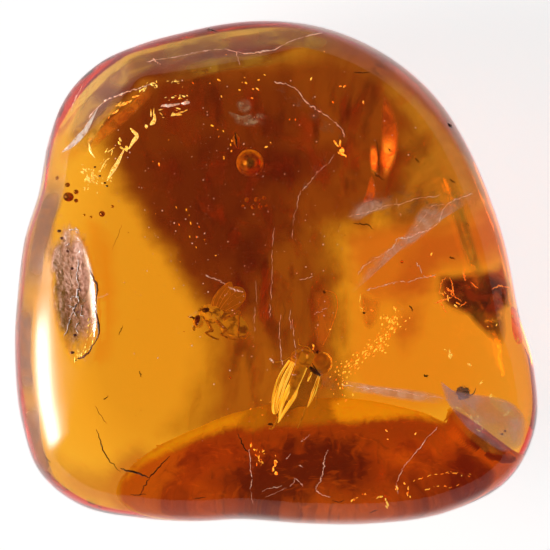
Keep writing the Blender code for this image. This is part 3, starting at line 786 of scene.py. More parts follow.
def makeFly():
    look = flyLook
    rng = random.Random(41)
    shape = bmesh.new()
    spin = Matrix.Rotation(math.radians(look["turn"]), 4, "Z")
    for part, lean, detail, slot in (("thorax", -10, 4, 0), ("head", 18, 4, 1)):
        centre, half = look[part]
        frameOf = spin @ Matrix.Rotation(math.radians(lean), 4, "Z")
        for vert in addBall(shape, inBody(look, centre), half, frameOf, detail, slot):
            vert.co += (vert.co - inBody(look, centre)) * 0.10 * noise.noise(vert.co / 0.45)
    centre, half = look["eye"]
    for side in (1, -1):
        addBall(shape, inBody(look, (centre[0], centre[1], side * centre[2])), half, spin, 4, 2)
    # Abdomen: rings that swell between the joints of its plates
    path = smoothPath([inBody(look, p) for p in look["abdomen"]], 10)
    count = 24
    rings = []
    for i, point in enumerate(path):
        along = i / (len(path) - 1) * (len(look["abdomenRadii"]) - 1)
        k = min(int(along), len(look["abdomenRadii"]) - 2)
        r0, r1 = look["abdomenRadii"][k], look["abdomenRadii"][k + 1]
        plate = 1 + 0.05 * abs(math.sin(math.pi * i / 6.5))
        radius = (r0 + (r1 - r0) * (along - k)) * plate * (1 + 0.05 * noise.noise(point * 3))
        ahead = (path[min(i + 1, len(path) - 1)] - path[max(i - 1, 0)]).normalized()
        side = up.cross(ahead).normalized()
        turns = [2 * math.pi * s / count for s in range(count)]
        flat = look["abdomenFlat"]
        rings.append([
            shape.verts.new(point + side * radius * math.cos(a) + up * radius * flat * math.sin(a)) for a in turns
        ])
    caps = [shape.faces.new(rings[0][::-1]), shape.faces.new(rings[-1])]
    for first, second in zip(rings, rings[1:]):
        for k in range(count):
            caps.append(shape.faces.new((first[k - 1], first[k], second[k], second[k - 1])))
    for face in caps:
        face.material_index = 1
    for leg in look["legs"]:
        for side in (1, -1):
            joints = [inBody(look, (x, y, z * side)) for x, y, z in leg]
            path = [joints[0]]
            for a, b in zip(joints, joints[1:]):
                path += [a.lerp(b, t) for t in (0.12, 0.5, 0.88, 1.0)]
            addTube(shape, path, look["legRadii"], 8, 6)
            hairs = [(p, Vector((rng.uniform(-1, 1), rng.uniform(-1, 1), 0.3)).normalized()) for p in path[2::2]]
            addBristles(shape, rng, hairs, 0.16, 0.012, 6)
        addBall(shape, joints[1], (0.13, 0.13, 0.13), None, 2, 6)
    for side in (1, -1):
        antenna = [inBody(look, (x, y, z * side)) for x, y, z in look["antenna"]]
        addTube(shape, antenna, (0.075, 0.06, 0.045), 8, 2)
        addTube(shape, [antenna[-1], antenna[-1] + Vector((-0.18, 0.10, 0.02))], (0.02, 0.008), 5, 2)
        halter = inBody(look, (0.45, 0.15, side * 0.42))
        addTube(shape, [inBody(look, (0.30, 0.12, side * 0.35)), halter], (0.02, 0.03), 5, 1)
        addBall(shape, halter, (0.06, 0.06, 0.06), None, 2, 1)
    addTube(shape, smoothPath([inBody(look, p) for p in look["proboscis"]], 4), (0.11, 0.10, 0.06), 8, 1)
    spots = []
    for _ in range(46):
        a = rng.uniform(0.1, math.pi - 0.1)
        lean = rng.uniform(-0.9, 0.9)
        outward = Vector((math.cos(a), math.sin(a) * math.cos(lean), math.sin(a) * math.sin(lean)))
        flat = turned(outward.xy, look["turn"])
        outward = Vector((flat.x, flat.y, outward.z))
        centre, half = look["thorax"]
        spots.append((inBody(look, centre) + Vector([outward[k] * half[k] * 0.98 for k in range(3)]), outward))
    addBristles(shape, rng, spots, 0.24, 0.012, 2)
    addBall(shape, inBody(look, look["patch"][0]), look["patch"][1], spin, 3, 5)
    spread = look["wingSpread"]
    addWing(shape, look, look["nearWing"], look["nearVeins"], spread, 0.10, 3, 4)
    addWing(shape, look, look["farWing"], look["farVeins"], -spread, -0.06, 3, 4)
    finishes = [
        chitin("flyThorax", (0.98, 0.60, 0.07), (0.28, 0.10, 0.007), 0.36, glow=0.32),
        chitin("flyAbdomen", (0.80, 0.48, 0.05), (0.32, 0.12, 0.008), 0.55, glow=0.30),
        eyeFinish(),
        wingFinish("flyWing", (0.64, 0.25, 0.012), 0.58, 0.42),
        chitin("flyVein", (0.85, 0.42, 0.05), (0.58, 0.22, 0.02), 0.4, glow=0.26),
        chitin("flyPatch", (0.20, 0.06, 0.006), (0.10, 0.022, 0.003), 0.3),
        chitin("flyLeg", (0.62, 0.27, 0.02), (0.28, 0.09, 0.007), 0.3, glow=0.25),
    ]
    bmesh.ops.recalc_face_normals(shape, faces=shape.faces)
    piece = toObject("longLeggedFly", shape, finishes, "fly_brown")
    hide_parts("long_legged_fly")
    return piece


# The golden-winged insect, seen from its back
goldenLook = {
    "place": (1.95, -6.05, 8.2),
    "turn": 0.0,
    "thorax": ((-0.22, 0.26, 0.0), (0.86, 0.62, 0.50)),
    "head": ((1.05, -0.12, 0.0), (0.74, 0.76, 0.56)),
    "abdomen": ((-0.30, -0.20, -0.10), (-0.62, -0.95, -0.16), (-0.95, -1.80, -0.18), (-1.25, -2.55, -0.15)),
    "abdomenRadii": (0.36, 0.42, 0.36, 0.14),
    # each folded wing: its middle line from root to tip, its widest half width, and its height above the middle
    "wings": (
        (((-0.95, 0.00), (-1.55, -1.20), (-1.95, -2.50), (-2.08, -3.40)), 0.42, 0.26, 4),
        (((-0.35, -0.25), (-1.10, -1.62), (-1.57, -2.72), (-1.80, -3.75)), 0.17, 0.12, 1),
        (((0.00, -0.40), (-0.54, -1.60), (-0.85, -2.40), (-1.43, -3.25), (-1.85, -3.92)), 0.18, 0.00, 1),
        (((0.38, -0.72), (0.26, -1.00), (0.12, -1.34)), 0.08, 0.16, 1),
        (((0.92, -0.92), (0.64, -1.80), (0.37, -2.50), (0.12, -3.00)), 0.14, 0.12, 1),
    ),
    "membrane": ((-0.90, -0.20), (0.10, -0.40), (0.92, -0.88), (0.60, -1.85), (0.20, -2.85), (-0.60, -3.00),
                 (-1.40, -3.40), (-1.95, -3.50), (-1.90, -2.40), (-1.45, -1.10)),
    "legs": (
        ((0.20, 0.05, -0.20), (0.35, -1.30, -0.40), (0.10, -2.60, -0.35), (-0.15, -3.50, -0.30), (-0.50, -4.25, -0.25)),
        ((-0.45, 0.05, -0.20), (-1.20, -1.60, -0.50), (-1.75, -3.20, -0.45), (-2.15, -4.15, -0.35),
         (-2.45, -4.22, -0.35)),
        ((0.60, -0.40, -0.25), (1.05, -1.30, -0.40), (0.70, -2.10, -0.45), (0.75, -2.80, -0.40), (0.55, -3.10, -0.35)),
    ),
    "legRadii": (0.10, 0.085, 0.06, 0.05, 0.035),
    "antennae": (
        ((0.20, 0.40, 0.15), (-0.75, 0.45, 0.20), (-1.55, 0.05, 0.15), (-2.10, -0.02, 0.10)),
        ((0.55, 0.45, 0.10), (0.15, 0.95, 0.15), (-0.45, 1.10, 0.15), (-0.55, 1.55, 0.10)),
    ),
    "mouthparts": ((0.26, -0.38, 0.44), (0.60, -0.66, 0.46), (1.00, -0.94, 0.38)),
}


def goldLeaf(name, dull, bright, flare, rough=0.3, size=0.12):
    # flare stands in for the window light that such leaf catches under glass
    shade = Shade(name)
    streaks = shade.marked("across") * 5.0
    where = shade.make("ShaderNodeVectorMath", {"operation": "ADD"}, {0: shade.scaled(size), 1: streaks}, "Vector")
    fibres = shade.make("ShaderNodeTexNoise", {}, {"Vector": where, "Scale": 1.0, "Detail": 4.0}, "Fac")
    tone = shade.mix(shade.fade(fibres, 0.36, 0.60), dull, bright)
    body = shade.principled(
        BaseColor=tone, Roughness=fibres * 0.2 + rough, Metallic=1.0, Normal=shade.bump(fibres, 0.03),
        EmissionColor=tone, EmissionStrength=flare,
    )
    return shade.wear(body)


def ribbedGold():
    # ribs and streaks that run along each blade; the palest streaks are painted highlights and the glow is painted
    # light, standing in for the light the wings catch
    shade = Shade("goldenWing")
    spots = {"X": shade.marked("across") * 15.0, "Y": shade.marked("along") * 0.5}
    where = shade.make("ShaderNodeCombineXYZ", {}, spots, "Vector")
    fibres = shade.make("ShaderNodeTexNoise", {}, {"Vector": where, "Scale": 1.0, "Detail": 5.0}, "Fac")
    tone = shade.ramp(
        fibres, (0.35, (0.14, 0.045, 0.003)), (0.43, (0.50, 0.22, 0.012)), (0.50, (0.98, 0.64, 0.08)),
        (0.60, (1.0, 0.92, 0.42)),
    )
    body = shade.principled(
        BaseColor=tone, Roughness=0.3, Metallic=0.8, Normal=shade.bump(fibres, 0.05), EmissionColor=tone,
        EmissionStrength=0.85,
    )
    return shade.wear(body)


def addBlade(shape, path, half, slot, ribs, shift):
    # a long folded wing, ribbed along its length and tipped towards the light; "across" and "along" tell its ribs where
    across, along = (shape.verts.layers.float.get(n) or shape.verts.layers.float.new(n) for n in ("across", "along"))
    facing = Vector((-0.26, -0.03, 0.96)).normalized()
    columns = 4 * ribs + 2
    rows = []
    for i, point in enumerate(path):
        t = i / (len(path) - 1)
        ahead = (path[min(i + 1, len(path) - 1)] - path[max(i - 1, 0)]).normalized()
        aside = ahead.cross(facing).normalized()
        width = half * max(math.sin(math.pi * min(0.16 + 0.82 * t, 1.0)) ** 0.6, 0.06)
        width *= 1 + 0.18 * noise.noise(Vector((shift, t * 5, 0)))
        row = []
        for side in (1, -1):
            order = range(columns + 1) if side > 0 else range(columns - 1, 0, -1)
            for k in order:
                u = 2 * k / columns - 1
                rib = 0.035 * math.cos(math.pi * ribs * u) + 0.05 * noise.noise(Vector((u * 3, t * 4, shift)))
                vert = shape.verts.new(point + aside * width * u + facing * (rib * 0.9 + side * 0.012))
                vert[across] = u * half + shift
                vert[along] = t * 3
                row.append(vert)
        rows.append(row)
    faces = [shape.faces.new(rows[0]), shape.faces.new(rows[-1][::-1])]
    for first, second in zip(rows, rows[1:]):
        for k in range(len(first)):
            faces.append(shape.faces.new((first[k], first[k - 1], second[k - 1], second[k])))
    for face in faces:
        face.material_index = slot


def makeGolden():
    look = goldenLook
    rng = random.Random(77)
    shape = bmesh.new()
    for part, slot in (("thorax", 0), ("head", 1)):
        centre, half = look[part]
        for vert in addBall(shape, inBody(look, centre), half, None, 4, slot):
            vert.co += (vert.co - inBody(look, centre)) * 0.06 * noise.noise(vert.co / 0.5)
    path = smoothPath([inBody(look, p) for p in look["abdomen"]], 7)
    radii = []
    for i in range(len(path)):
        along = i / (len(path) - 1) * 3
        k = min(int(along), 2)
        r0, r1 = look["abdomenRadii"][k], look["abdomenRadii"][k + 1]
        radii.append((r0 + (r1 - r0) * (along - k)) * (1 + 0.09 * abs(math.sin(math.pi * i / 3.5))))
    addTube(shape, path, radii, 18, 0)
    for line, half, height, ribs in look["wings"]:
        addBlade(shape, smoothPath([inBody(look, (x, y, height)) for x, y in line], 9), half, 2, ribs,
                half * 9 + height)
    rim = smoothPath([inBody(look, (x, y, -0.05)) for x, y in look["membrane"]], 5, closed=True)
    addLens(shape, rim, 0.012, rings=8, bulge=0.08, crisp=0.3, lump=0.4, lumpSize=0.4, slot=6)
    for leg in look["legs"]:
        path = smoothPath([inBody(look, p) for p in leg], 4)
        addTube(shape, path, look["legRadii"], 7, 3)
        hairs = [(p, Vector((rng.uniform(-1, 1), rng.uniform(-1, 1), 0.2)).normalized()) for p in path[4::2]]
        addBristles(shape, rng, hairs, 0.14, 0.012, 3)
    for antenna in look["antennae"]:
        addTube(shape, smoothPath([inBody(look, p) for p in antenna], 6), (0.045, 0.03, 0.02), 6, 3)
    addTube(shape, smoothPath([inBody(look, p) for p in look["mouthparts"]], 4), (0.09, 0.15, 0.08), 8, 4)
    addTube(shape, smoothPath([inBody(look, p) for p in ((0.42, -0.1, 0.5), (0.58, -0.38, 0.55), (0.78, -0.64, 0.5))],
            4),
            (0.02, 0.035, 0.03), 5, 4)
    addBall(shape, inBody(look, (0.78, 0.66, 0.42)), (0.10, 0.14, 0.08), None, 3, 4)
    # the sheath of the head lifts from it along a bright arc
    arc = [inBody(look, (1.05 + 0.72 * math.cos(a), -0.12 + 0.74 * math.sin(a), 0.30)) for a in
           [math.radians(80 - 13 * i) for i in range(11)]]
    addTube(shape, arc, (0.02, 0.045, 0.05, 0.045, 0.06, 0.02), 6, 5)
    addBall(shape, inBody(look, (0.08, 0.34, 0.50)), (0.08, 0.14, 0.05), None, 3, 5)
    finishes = [
        chitin("goldenThorax", (0.68, 0.38, 0.03), (0.44, 0.18, 0.012), 0.5, 0.25, 0.3),
        chitin("goldenHead", (0.62, 0.28, 0.018), (0.44, 0.16, 0.010), 0.7, 0.2, 0.3),
        ribbedGold(),
        chitin("goldenLeg", (0.70, 0.42, 0.05), (0.45, 0.2, 0.015), 0.5, glow=0.3),
        chitin("darkMouthparts", (0.06, 0.02, 0.006), (0.015, 0.006, 0.003), 0.3),
        goldLeaf("brightSheath", (0.70, 0.24, 0.02), (1.0, 0.62, 0.12), 0.6),
        wingFinish("goldenMembrane", (0.55, 0.27, 0.02), 0.40, 0.25),
    ]
    bmesh.ops.recalc_face_normals(shape, faces=shape.faces)
    piece = toObject("goldenWingedInsect", shape, finishes, "wing_gold")
    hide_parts("golden_winged_insect")
    return piece


makeFly()
makeGolden()
print("insects: 2")


# Small things in the resin
def ragged(rng, centre, along, across, half, sides=7):
    # an uneven little outline with its long side along
    spin = rng.uniform(0, 6.3)
    rim = []
    for k in range(sides):
        a = spin + 2 * math.pi * k / sides
        reach = rng.uniform(0.55, 1.15)
        rim.append(centre + along * math.cos(a) * half[0] * reach + across * math.sin(a) * half[1] * reach)
    return rim


def addFlake(shape, rng, centre, heading, half, lean=(-0.24, 0.0), spread=0.16, slot=0):
    # a thin scale that lies nearly level and tips towards the light
    facing = Vector((lean[0] + rng.gauss(0, spread), lean[1] + rng.gauss(0, spread), 1)).normalized()
    along = Vector((math.cos(heading), math.sin(heading), 0))
    along = (along - facing * along.dot(facing)).normalized()
    across = facing.cross(along)
    addLens(shape, ragged(rng, centre, along, across, half), 0.015, rings=3, bulge=rng.uniform(0.0, 0.04), slot=slot)


def pathHeading(path, i):
    step = path[min(i + 1, len(path) - 1)] - path[max(i - 1, 0)]
    return math.atan2(step.y, step.x)


def along(places, level, steps=8):
    return smoothPath([showsAt(place, level) for place in places], steps)


# Gold streaks of the string at the upper left
goldStreaks = (
    (((-11.71, 6.36), (-11.37, 6.98), (-11.02, 7.53), (-10.75, 8.08), (-10.47, 8.64)), 0.17),
        (((-11.57, 6.5), (-11.23, 7.19), (-10.95, 7.81)), 0.07),
    (((-10.19, 8.57), (-9.92, 9.05), (-9.64, 9.47), (-9.92, 9.81), (-10.12, 10.02)), 0.16),
        (((-9.09, 10.09), (-8.88, 10.16)), 0.16), (((-8.74, 10.23), (-8.46, 10.5), (-8.4, 10.99)), 0.16),
    (((-8.67, 10.78), (-8.67, 11.33)), 0.05), (((-8.5, 10.85), (-8.46, 11.4)), 0.05), (((-12.2, 6.98),
        (-11.92, 7.53), (-11.64, 7.95)), 0.05), (((-12.96, 8.98), (-12.82, 8.36), (-12.54, 7.95)), 0.09),
)
# Strings of gold scales: the line they follow, level, how many, half length and half width, how far they stray.
goldScales = {
    "strings": (
        (((-13.58, 7.26), (-13.03, 6.98), (-12.75, 6.43)), 12.0, 14, (0.20, 0.08), 0.22),
            (((-10.88, 9.12), (-10.68, 8.78), (-10.33, 8.5)), 12.2, 8, (0.20, 0.08), 0.10),
        (((-9.22, 12.58), (-8.88, 12.92), (-8.46, 12.99),
            (-8.19, 12.78)), 12.6, 16, (0.14, 0.06), 0.16), (((-7.64, 11.95), (-7.22, 12.09),
            (-6.6, 12.16), (-6.05, 12.02)), 12.8, 14, (0.13, 0.06), 0.10),
        (((-8.05, 11.13), (-7.5, 10.92), (-6.81, 11.13), (-6.18, 11.06)), 12.5, 12, (0.26, 0.07), 0.16),
            (((-7.64, 13.06), (-7.08, 13.27), (-6.6, 13.06), (-6.46, 12.65)), 12.4, 9, (0.14, 0.03), 0.05),
        (((-13.3, 6.01), (-12.89, 6.7), (-12.47, 6.43), (-11.78, 6.08)), 12.0, 26, (0.14, 0.06), 0.35),
        (((-12.2, 6.98), (-11.78, 7.81), (-11.37, 8.5)), 12.1, 12, (0.22, 0.05), 0.25),
        (((12.47, -9.26), (12.96, -9.54), (13.37, -9.88), (13.72, -10.23),
            (14.06, -10.43)), 11.4, 13, (0.20, 0.06), 0.05),
        (((13.58, -10.64), (13.85, -10.78), (14.06, -10.92), (14.34, -10.71)), 11.2, 8, (0.16, 0.05), 0.05),
        (((-13.58, -5.46), (-13.65, -5.8), (-13.51, -6.01)), 11.2, 6, (0.20, 0.08), 0.08),
        (((11.71, -5.25), (11.92, -5.46), (11.99, -5.74)), 11.8, 4, (0.22, 0.09), 0.05),
        (((7.01, -15.55), (7.29, -15.48), (7.64, -15.89), (7.57, -16.24)), 9.6, 8, (0.20, 0.06), 0.04),
        (((5.77, -1.52), (5.77, -2.07), (5.91, -2.63)), 11.0, 8, (0.20, 0.04), 0.03),
    ),
    "single": (((13.92, -9.95), (14.75, -8.57), (-12.96, -3.39), (13.37, -6.36), (14.2, -7.53),
        (15.79, -9.81), (16, -9.6))),
}
# Strings of small orange sparks, and the red and orange glints that stand alone with their half sizes.
sparks = {
    "strings": (
        (((8.4, -2.5), (8.3, -3.6), (7.4, -4.6), (6.7, -5), (5.8, -5.8), (5.4, -6.2), (4.7, -6.7),
            (4.5, -7.4), (4.5, -8.6)), 10.6, 150, (0.095, 0.05), 0.34),
        (((7.98, -3.11), (7.5, -3.94), (7.01, -4.63), (6.18, -5.32)), 10.8, 50, (0.12, 0.06), 0.30),
        (((-1.35, -12.23), (-1.21, -12.78), (-1.14, -13.41)), 9.5, 14, (0.16, 0.03), 0.12),
        (((-1.76, -11.82), (-1.55, -12.23)), 9.5, 4, (0.16, 0.05), 0.05),
        (((-0.86, -12.09), (-0.86, -12.44)), 9.5, 3, (0.14, 0.05), 0.05),
        (((11.37, -1.17), (11.71, -1.59), (12.33, -2.07)), 11.2, 10, (0.16, 0.05), 0.12),
        (((2.45, -4.84), (2.52, -5.32), (2.04, -5.67)), 9.6, 5, (0.10, 0.05), 0.08),
        (((-13, 9.2), (-11.9, 10.7), (-10.6, 11.6), (-9, 12.8)), 11.0, 22, (0.30, 0.06), 0.12),
        (((4.18, 8.98), (4.46, 8.5), (4.73, 8.15)), 11.0, 9, (0.24, 0.10), 0.12),
        (((-1.83, -9.47), (-1, -9.05), (0.24, -8.91)), 9.8, 10, (0.10, 0.04), 0.30),
        (((9.5, -14.3), (10.5, -14), (11.5, -13.8), (12.5, -13.8),
            (13.4, -14)), 9.0, 16, (0.16, 0.025), 0.04),
        (((10.3, -15), (11.3, -14.7), (12.3, -14.8), (12.8, -14.2)), 9.0, 12, (0.14, 0.025), 0.05),
        (((5.08, -15.75), (5.63, -15.41), (6.18, -15.2)), 9.0, 9, (0.18, 0.04), 0.05),
            (((-0.03, -12.58), (-0.1, -13.06), (-0.17, -13.61),
            (-0.03, -14.03)), 9.6, 9, (0.14, 0.08), 0.06),
        (((8.88, -14.44), (9.09, -14.86), (9.16, -15.34)), 9.2, 7, (0.12, 0.06), 0.06), (((8.19, -14.3),
            (8.33, -14.72), (8.26, -15.13)), 9.2, 6, (0.10, 0.05), 0.08),
        (((-6, 14.7), (-4.2, 13.9), (-2.5, 13.3), (-1, 13.1)), 9.0, 10, (0.12, 0.05), 0.50),
            (((-4.25, 9.88), (-3.35, 9.05), (-3.77, 7.81)), 9.0, 9, (0.10, 0.05), 0.40),
        (((-8.7, 7.1), (-6.7, 4), (-5.6, 1.6)), 9.0, 12, (0.10, 0.035), 0.50),
    ),
    "single": (((0, -13), (-0.2, -13.4), (-0.1, -13.9), (9.1, -14.8), (8.3, -14.8), (12.8, -14),
        (7.6, -10.9), (7.7, -11.5), (9.6, -11.1), (10.7, 1.3), (13, 0.2), (-0.4, 9), (-0.7, 8.7),
        (-8.1, 7.5), (3.3, 15.3), (-1.6, 12.7), (-1.3, 12.7), (0.9, 10.6), (1.3, 10.6), (4.4, 12.9),
        (4.7, 12.9), (2.4, 13.4), (-3.8, 12.2), (-2.2, 13.5), (-4.6, 13.1), (-4.2, 1.2), (3.9, 11.8),
        (6, 11.8), (15.2, -3.6), (14.6, -3.7), (14.1, -3.1), (6.6, -2.6), (3.7, -3.9))),
}


def makeScales(name, look, finish, size, seed, level):
    rng = random.Random(seed)
    shape = bmesh.new()
    for places, stringLevel, count, half, stray in look["strings"]:
        path = along(places, stringLevel, 16)
        for _ in range(count):
            i = rng.randrange(len(path))
            centre = path[i] + Vector((rng.gauss(0, stray), rng.gauss(0, stray), rng.gauss(0, 0.15)))
            grown = rng.uniform(0.35, 1.25)
            heading = pathHeading(path, i) + rng.gauss(0, 0.35)
            addFlake(shape, rng, centre, heading, (half[0] * grown, half[1] * grown))
    for place in look["single"]:
        centre = showsAt(place, level + rng.uniform(-0.8, 0.8))
        grown = rng.uniform(0.5, 1.4)
        addFlake(shape, rng, centre, rng.uniform(0, 3), (size[0] * grown, size[1] * grown), spread=0.08)
    return toObject(name, shape, finish, "amber")


makeScales("goldScales", goldScales, goldLeaf("goldScale", (0.80, 0.36, 0.02), (1.0, 0.80, 0.22), 0.85),
           (0.20, 0.10), 5, 11.2)
makeScales("orangeSparks", sparks, goldLeaf("orangeSpark", (1.0, 0.18, 0.010), (1.0, 0.62, 0.12), 1.25, size=0.3),
           (0.11, 0.05), 6, 11.0)


def makeStreaks():
    shape = bmesh.new()
    for places, radius in goldStreaks:
        addTube(shape, along(places, 12.3, 6), (radius * 0.2, radius, radius * 0.7, radius * 0.15), 6)
    toObject("goldStreaks", shape, goldLeaf("goldStreak", (0.80, 0.36, 0.02), (1.0, 0.84, 0.28), 0.95), "amber")


makeStreaks()


# Bubbles: where each shows, its level and its radius; the big one first.
bubbleLook = {
    "round": (
        ((-1.83, 7.6), 10.8, 0.92), ((-14.37, 5.25), 9.6, 0.36), ((-12.06, 4.08), 11.2, 0.22),
            ((-11.33, 4.6), 11.3, 0.10),
        ((-12.82, 3.87), 11.0, 0.09), ((-13.27, 4.01), 10.8, 0.08), ((-2.04, 5.04), 10.6, 0.17),
            ((-1.35, 5.04), 10.4, 0.19),
        ((-0.86, 5.18), 10.6, 0.14), ((-1.62, 4.56), 10.5, 0.16), ((-1.14, 4.56), 10.7, 0.15),
            ((-2.31, 4.63), 10.6, 0.10),
        ((-0.73, 4.63), 10.5, 0.09), ((-7.43, 9.19), 11.8, 0.07), ((-13.85, 5.6), 9.9, 0.16),
            ((-13.85, 5.01), 9.9, 0.15),
        ((-15.17, 6.56), 9.0, 0.15), ((-14.44, 6.09), 9.6, 0.17), ((4.25, 10.16), 11.4, 0.09),
            ((-4.94, 2.28), 11.5, 0.08),
        ((8.67, 0.76), 11.2, 0.10), ((-3.21, -7.26), 11.8, 0.09),
    ),
    "drops": ((((-2.8, 9.6)), ((-2.76, 9.12)), ((-2.66, 8.57))),),
}


def makeBubbles():
    shape = bmesh.new()
    rng = random.Random(12)
    for place, level, radius in bubbleLook["round"]:
        half = (radius * rng.uniform(0.95, 1.08), radius * rng.uniform(0.92, 1.05), radius)
        addBall(shape, showsAt(place, level), half, None, 4 if radius > 0.3 else 3)
    for drop in bubbleLook["drops"]:
        addTube(shape, along(drop, 11.0, 6), (0.04, 0.24, 0.20, 0.03), 12)
    shade = Shade("resinBubble")
    speck = shade.cloudy(0.25, 4.0)
    body = shade.principled(
        BaseColor=shade.mix(shade.fade(speck, 0.45, 0.7), (0.85, 0.45, 0.07), (0.55, 0.20, 0.02)), Roughness=0.28,
        Metallic=0.75, Normal=shade.bump(speck, 0.03),
    )
    return toObject("bubbles", shape, shade.wear(body), "amber")


makeBubbles()


# Cracks, scratches and specks, and painted highlights along two ridges
# Each line: the places it runs through and its radius. Pale ones lie just under the polish, dark ones deeper.
ridgeHighlightsAndPaleLines = (
    (((-4.87, -0.14), (-4.53, -0.35), (-4.04, -0.48), (-3.77, -0.62), (-3.56, -0.76)), 0.030),
        (((-3.28, -0.97), (-3.01, -1.11), (-2.8, -1.24), (-2.52, -1.24), (-2.25, -1.31)), 0.040),
    (((-0.1, 13.2), (0.5, 13.1), (1.3, 12.8), (1.8, 12.2), (2.3, 11.6), (2.8, 11.3), (3.3, 11),
        (4, 10.4), (4.5, 10), (4.7, 9.4)), 0.035),
    (((4, 8.2), (3.6, 7.6), (3.1, 7.2), (2.7, 6.8), (2.2, 6.2), (1.8, 5.7)), 0.022),
    (((13.6, 5.5), (13, 5.3), (12.3, 5), (11.7, 4.6), (11.4, 4), (11.2, 3.5), (10.6, 3), (10, 2.8),
        (9.1, 2.4), (8.6, 2.4), (8.3, 2.3)), 0.036),
    (((8.3, 2.3), (8.1, 1.9), (7.8, 1.6), (7.2, 1.2), (6.7, 0.9), (6.3, 0.6), (5.9, 0.3),
        (5.6, -0.1)), 0.030),
    (((6.2, -1.2), (6.5, -1.1), (6.9, -1), (7.6, -0.8), (8.1, -0.7), (8.7, -0.6), (9.2, -0.6),
        (9.7, -0.4), (10.2, -0.3), (11, -0.1)), 0.026),
    (((9.71, 0.69), (9.92, 0.35), (10.19, -0.28)), 0.034), (((2.59, -2.9), (2.87, -2.69), (3.14, -2.63),
        (3.49, -2.42)), 0.024),
    (((-1, -15.13), (-0.59, -14.93), (-0.1, -14.86), (0.45, -14.72)), 0.020), (((-0.79, -15.55),
        (-0.03, -15.2), (0.73, -14.86)), 0.018),
    (((0.93, -14.79), (1.21, -14.51), (1.35, -14.23), (1.62, -14.51), (1.83, -14.79)), 0.022),
    (((3.6, -12.2), (3.4, -12.6), (3.3, -13.1), (3.2, -13.8), (3.1, -14.2), (2.9, -14.6), (2.7, -15),
        (3.1, -15.3), (3.7, -15.5)), 0.026),
    (((11.2, -10.6), (10.3, -11.6), (9.4, -12.7), (8.9, -13.3), (8.5, -14), (8.3, -14.7),
        (8.4, -15.4)), 0.020),
    (((1.69, -11.68), (2.04, -11.4), (2.31, -11.19)), 0.020), (((0.66, -12.92), (1.07, -12.44)), 0.018),
        (((1.55, -13.27), (1.76, -13.41)), 0.024),
    # The lines along the upper-left and far ridges, below, are painted highlights where these ridges catch the light
    (((-14.75, 8.43), (-14.27, 8.84), (-13.72, 9.26)), 0.06), (((-13.3, 9.9), (-12.8, 11),
        (-12.3, 11.5), (-11.7, 12), (-11.2, 12.2), (-10.6, 12.4)), 0.085), (((-7.98, 11.54),
        (-7.01, 11.64), (-5.98, 11.78)), 0.15),
    (((-10.61, 12.44), (-9.92, 12.65), (-9.29, 12.85), (-8.74, 13.06)), 0.045), (((-13.37, 13.06),
        (-13.65, 12.51), (-13.99, 11.82), (-14.27, 11.13)), 0.06),
    (((-9, 14.6), (-8.1, 14.8), (-7.2, 14.9), (-5.8, 15.2), (-4.7, 15.4), (-3.6, 15.5)), 0.055),
        (((-3.6, 15.5), (-2.2, 15.2), (-1.1, 15.3), (-0.1, 15.5), (1.1, 16.1), (2.2, 16.4),
        (3.1, 16.6)), 0.065),
    (((-8.53, 14.86), (-8.26, 14.58), (-8.05, 14.44)), 0.05), (((-2.8, 15.34), (-2.66, 14.86),
        (-2.52, 14.44)), 0.03), (((-1.9, -12.2), (-1.8, -12.8), (-1.8, -13.6), (-1.7, -14.3),
        (-1.8, -15.1), (-1.6, -16)), 0.022),
    (((4.5, -7.7), (5.8, -7.9), (7.2, -8), (8.7, -8.2), (10.2, -8.5), (11.2, -8.6), (12, -8.8)), 0.028),
    (((-13.99, 3.04), (-13.85, 2.9), (-13.79, 2.76)), 0.060), (((1.62, -0.48), (2.04, -0.41),
        (2.45, -0.21)), 0.016), (((-12.47, -1.8), (-12.06, -1.59), (-11.64, -1.45)), 0.020),
    (((-6.12, -3.11), (-5.56, -2.69)), 0.014), (((-0.45, -5.98), (-0.31, -6.08),
        (-0.24, -6.15)), 0.050), (((1.07, -6.98), (1.35, -7.05)), 0.022),
    (((5, 3.9), (5.8, 4.1), (6.7, 4.3), (7.7, 4.7), (8.7, 4.8), (9.9, 5.2), (11.3, 5.3)), 0.016),
    (((8.26, 5.18), (8.4, 4.56), (8.6, 3.94)), 0.014), (((9.57, 3.11), (10.19, 3.87), (10.81, 4.63),
        (11.64, 4.7)), 0.016),
    (((1.7, 5.7), (1.4, 4.6), (1.2, 3.6), (1.1, 2.4)), 0.012), (((-1.5, -0.5), (-1.4, -1.9),
        (-1.6, -3.4)), 0.012),
    (((-0.2, 3.1), (-0.3, 1.6), (-0.3, -0.1), (-0.4, -1.9), (-0.5, -3.1)), 0.013), (((0.3, -2.8),
        (0.2, -4.1), (0.3, -5.3), (0.4, -6.3)), 0.022),
    (((1.1, -3.1), (1.2, -4.4), (1.3, -5.5), (1.3, -6.4)), 0.018), (((0.93, -2.56), (1, -3.94)), 0.012),
        (((-1.49, -3.11), (-1.55, -4.08)), 0.010),
)
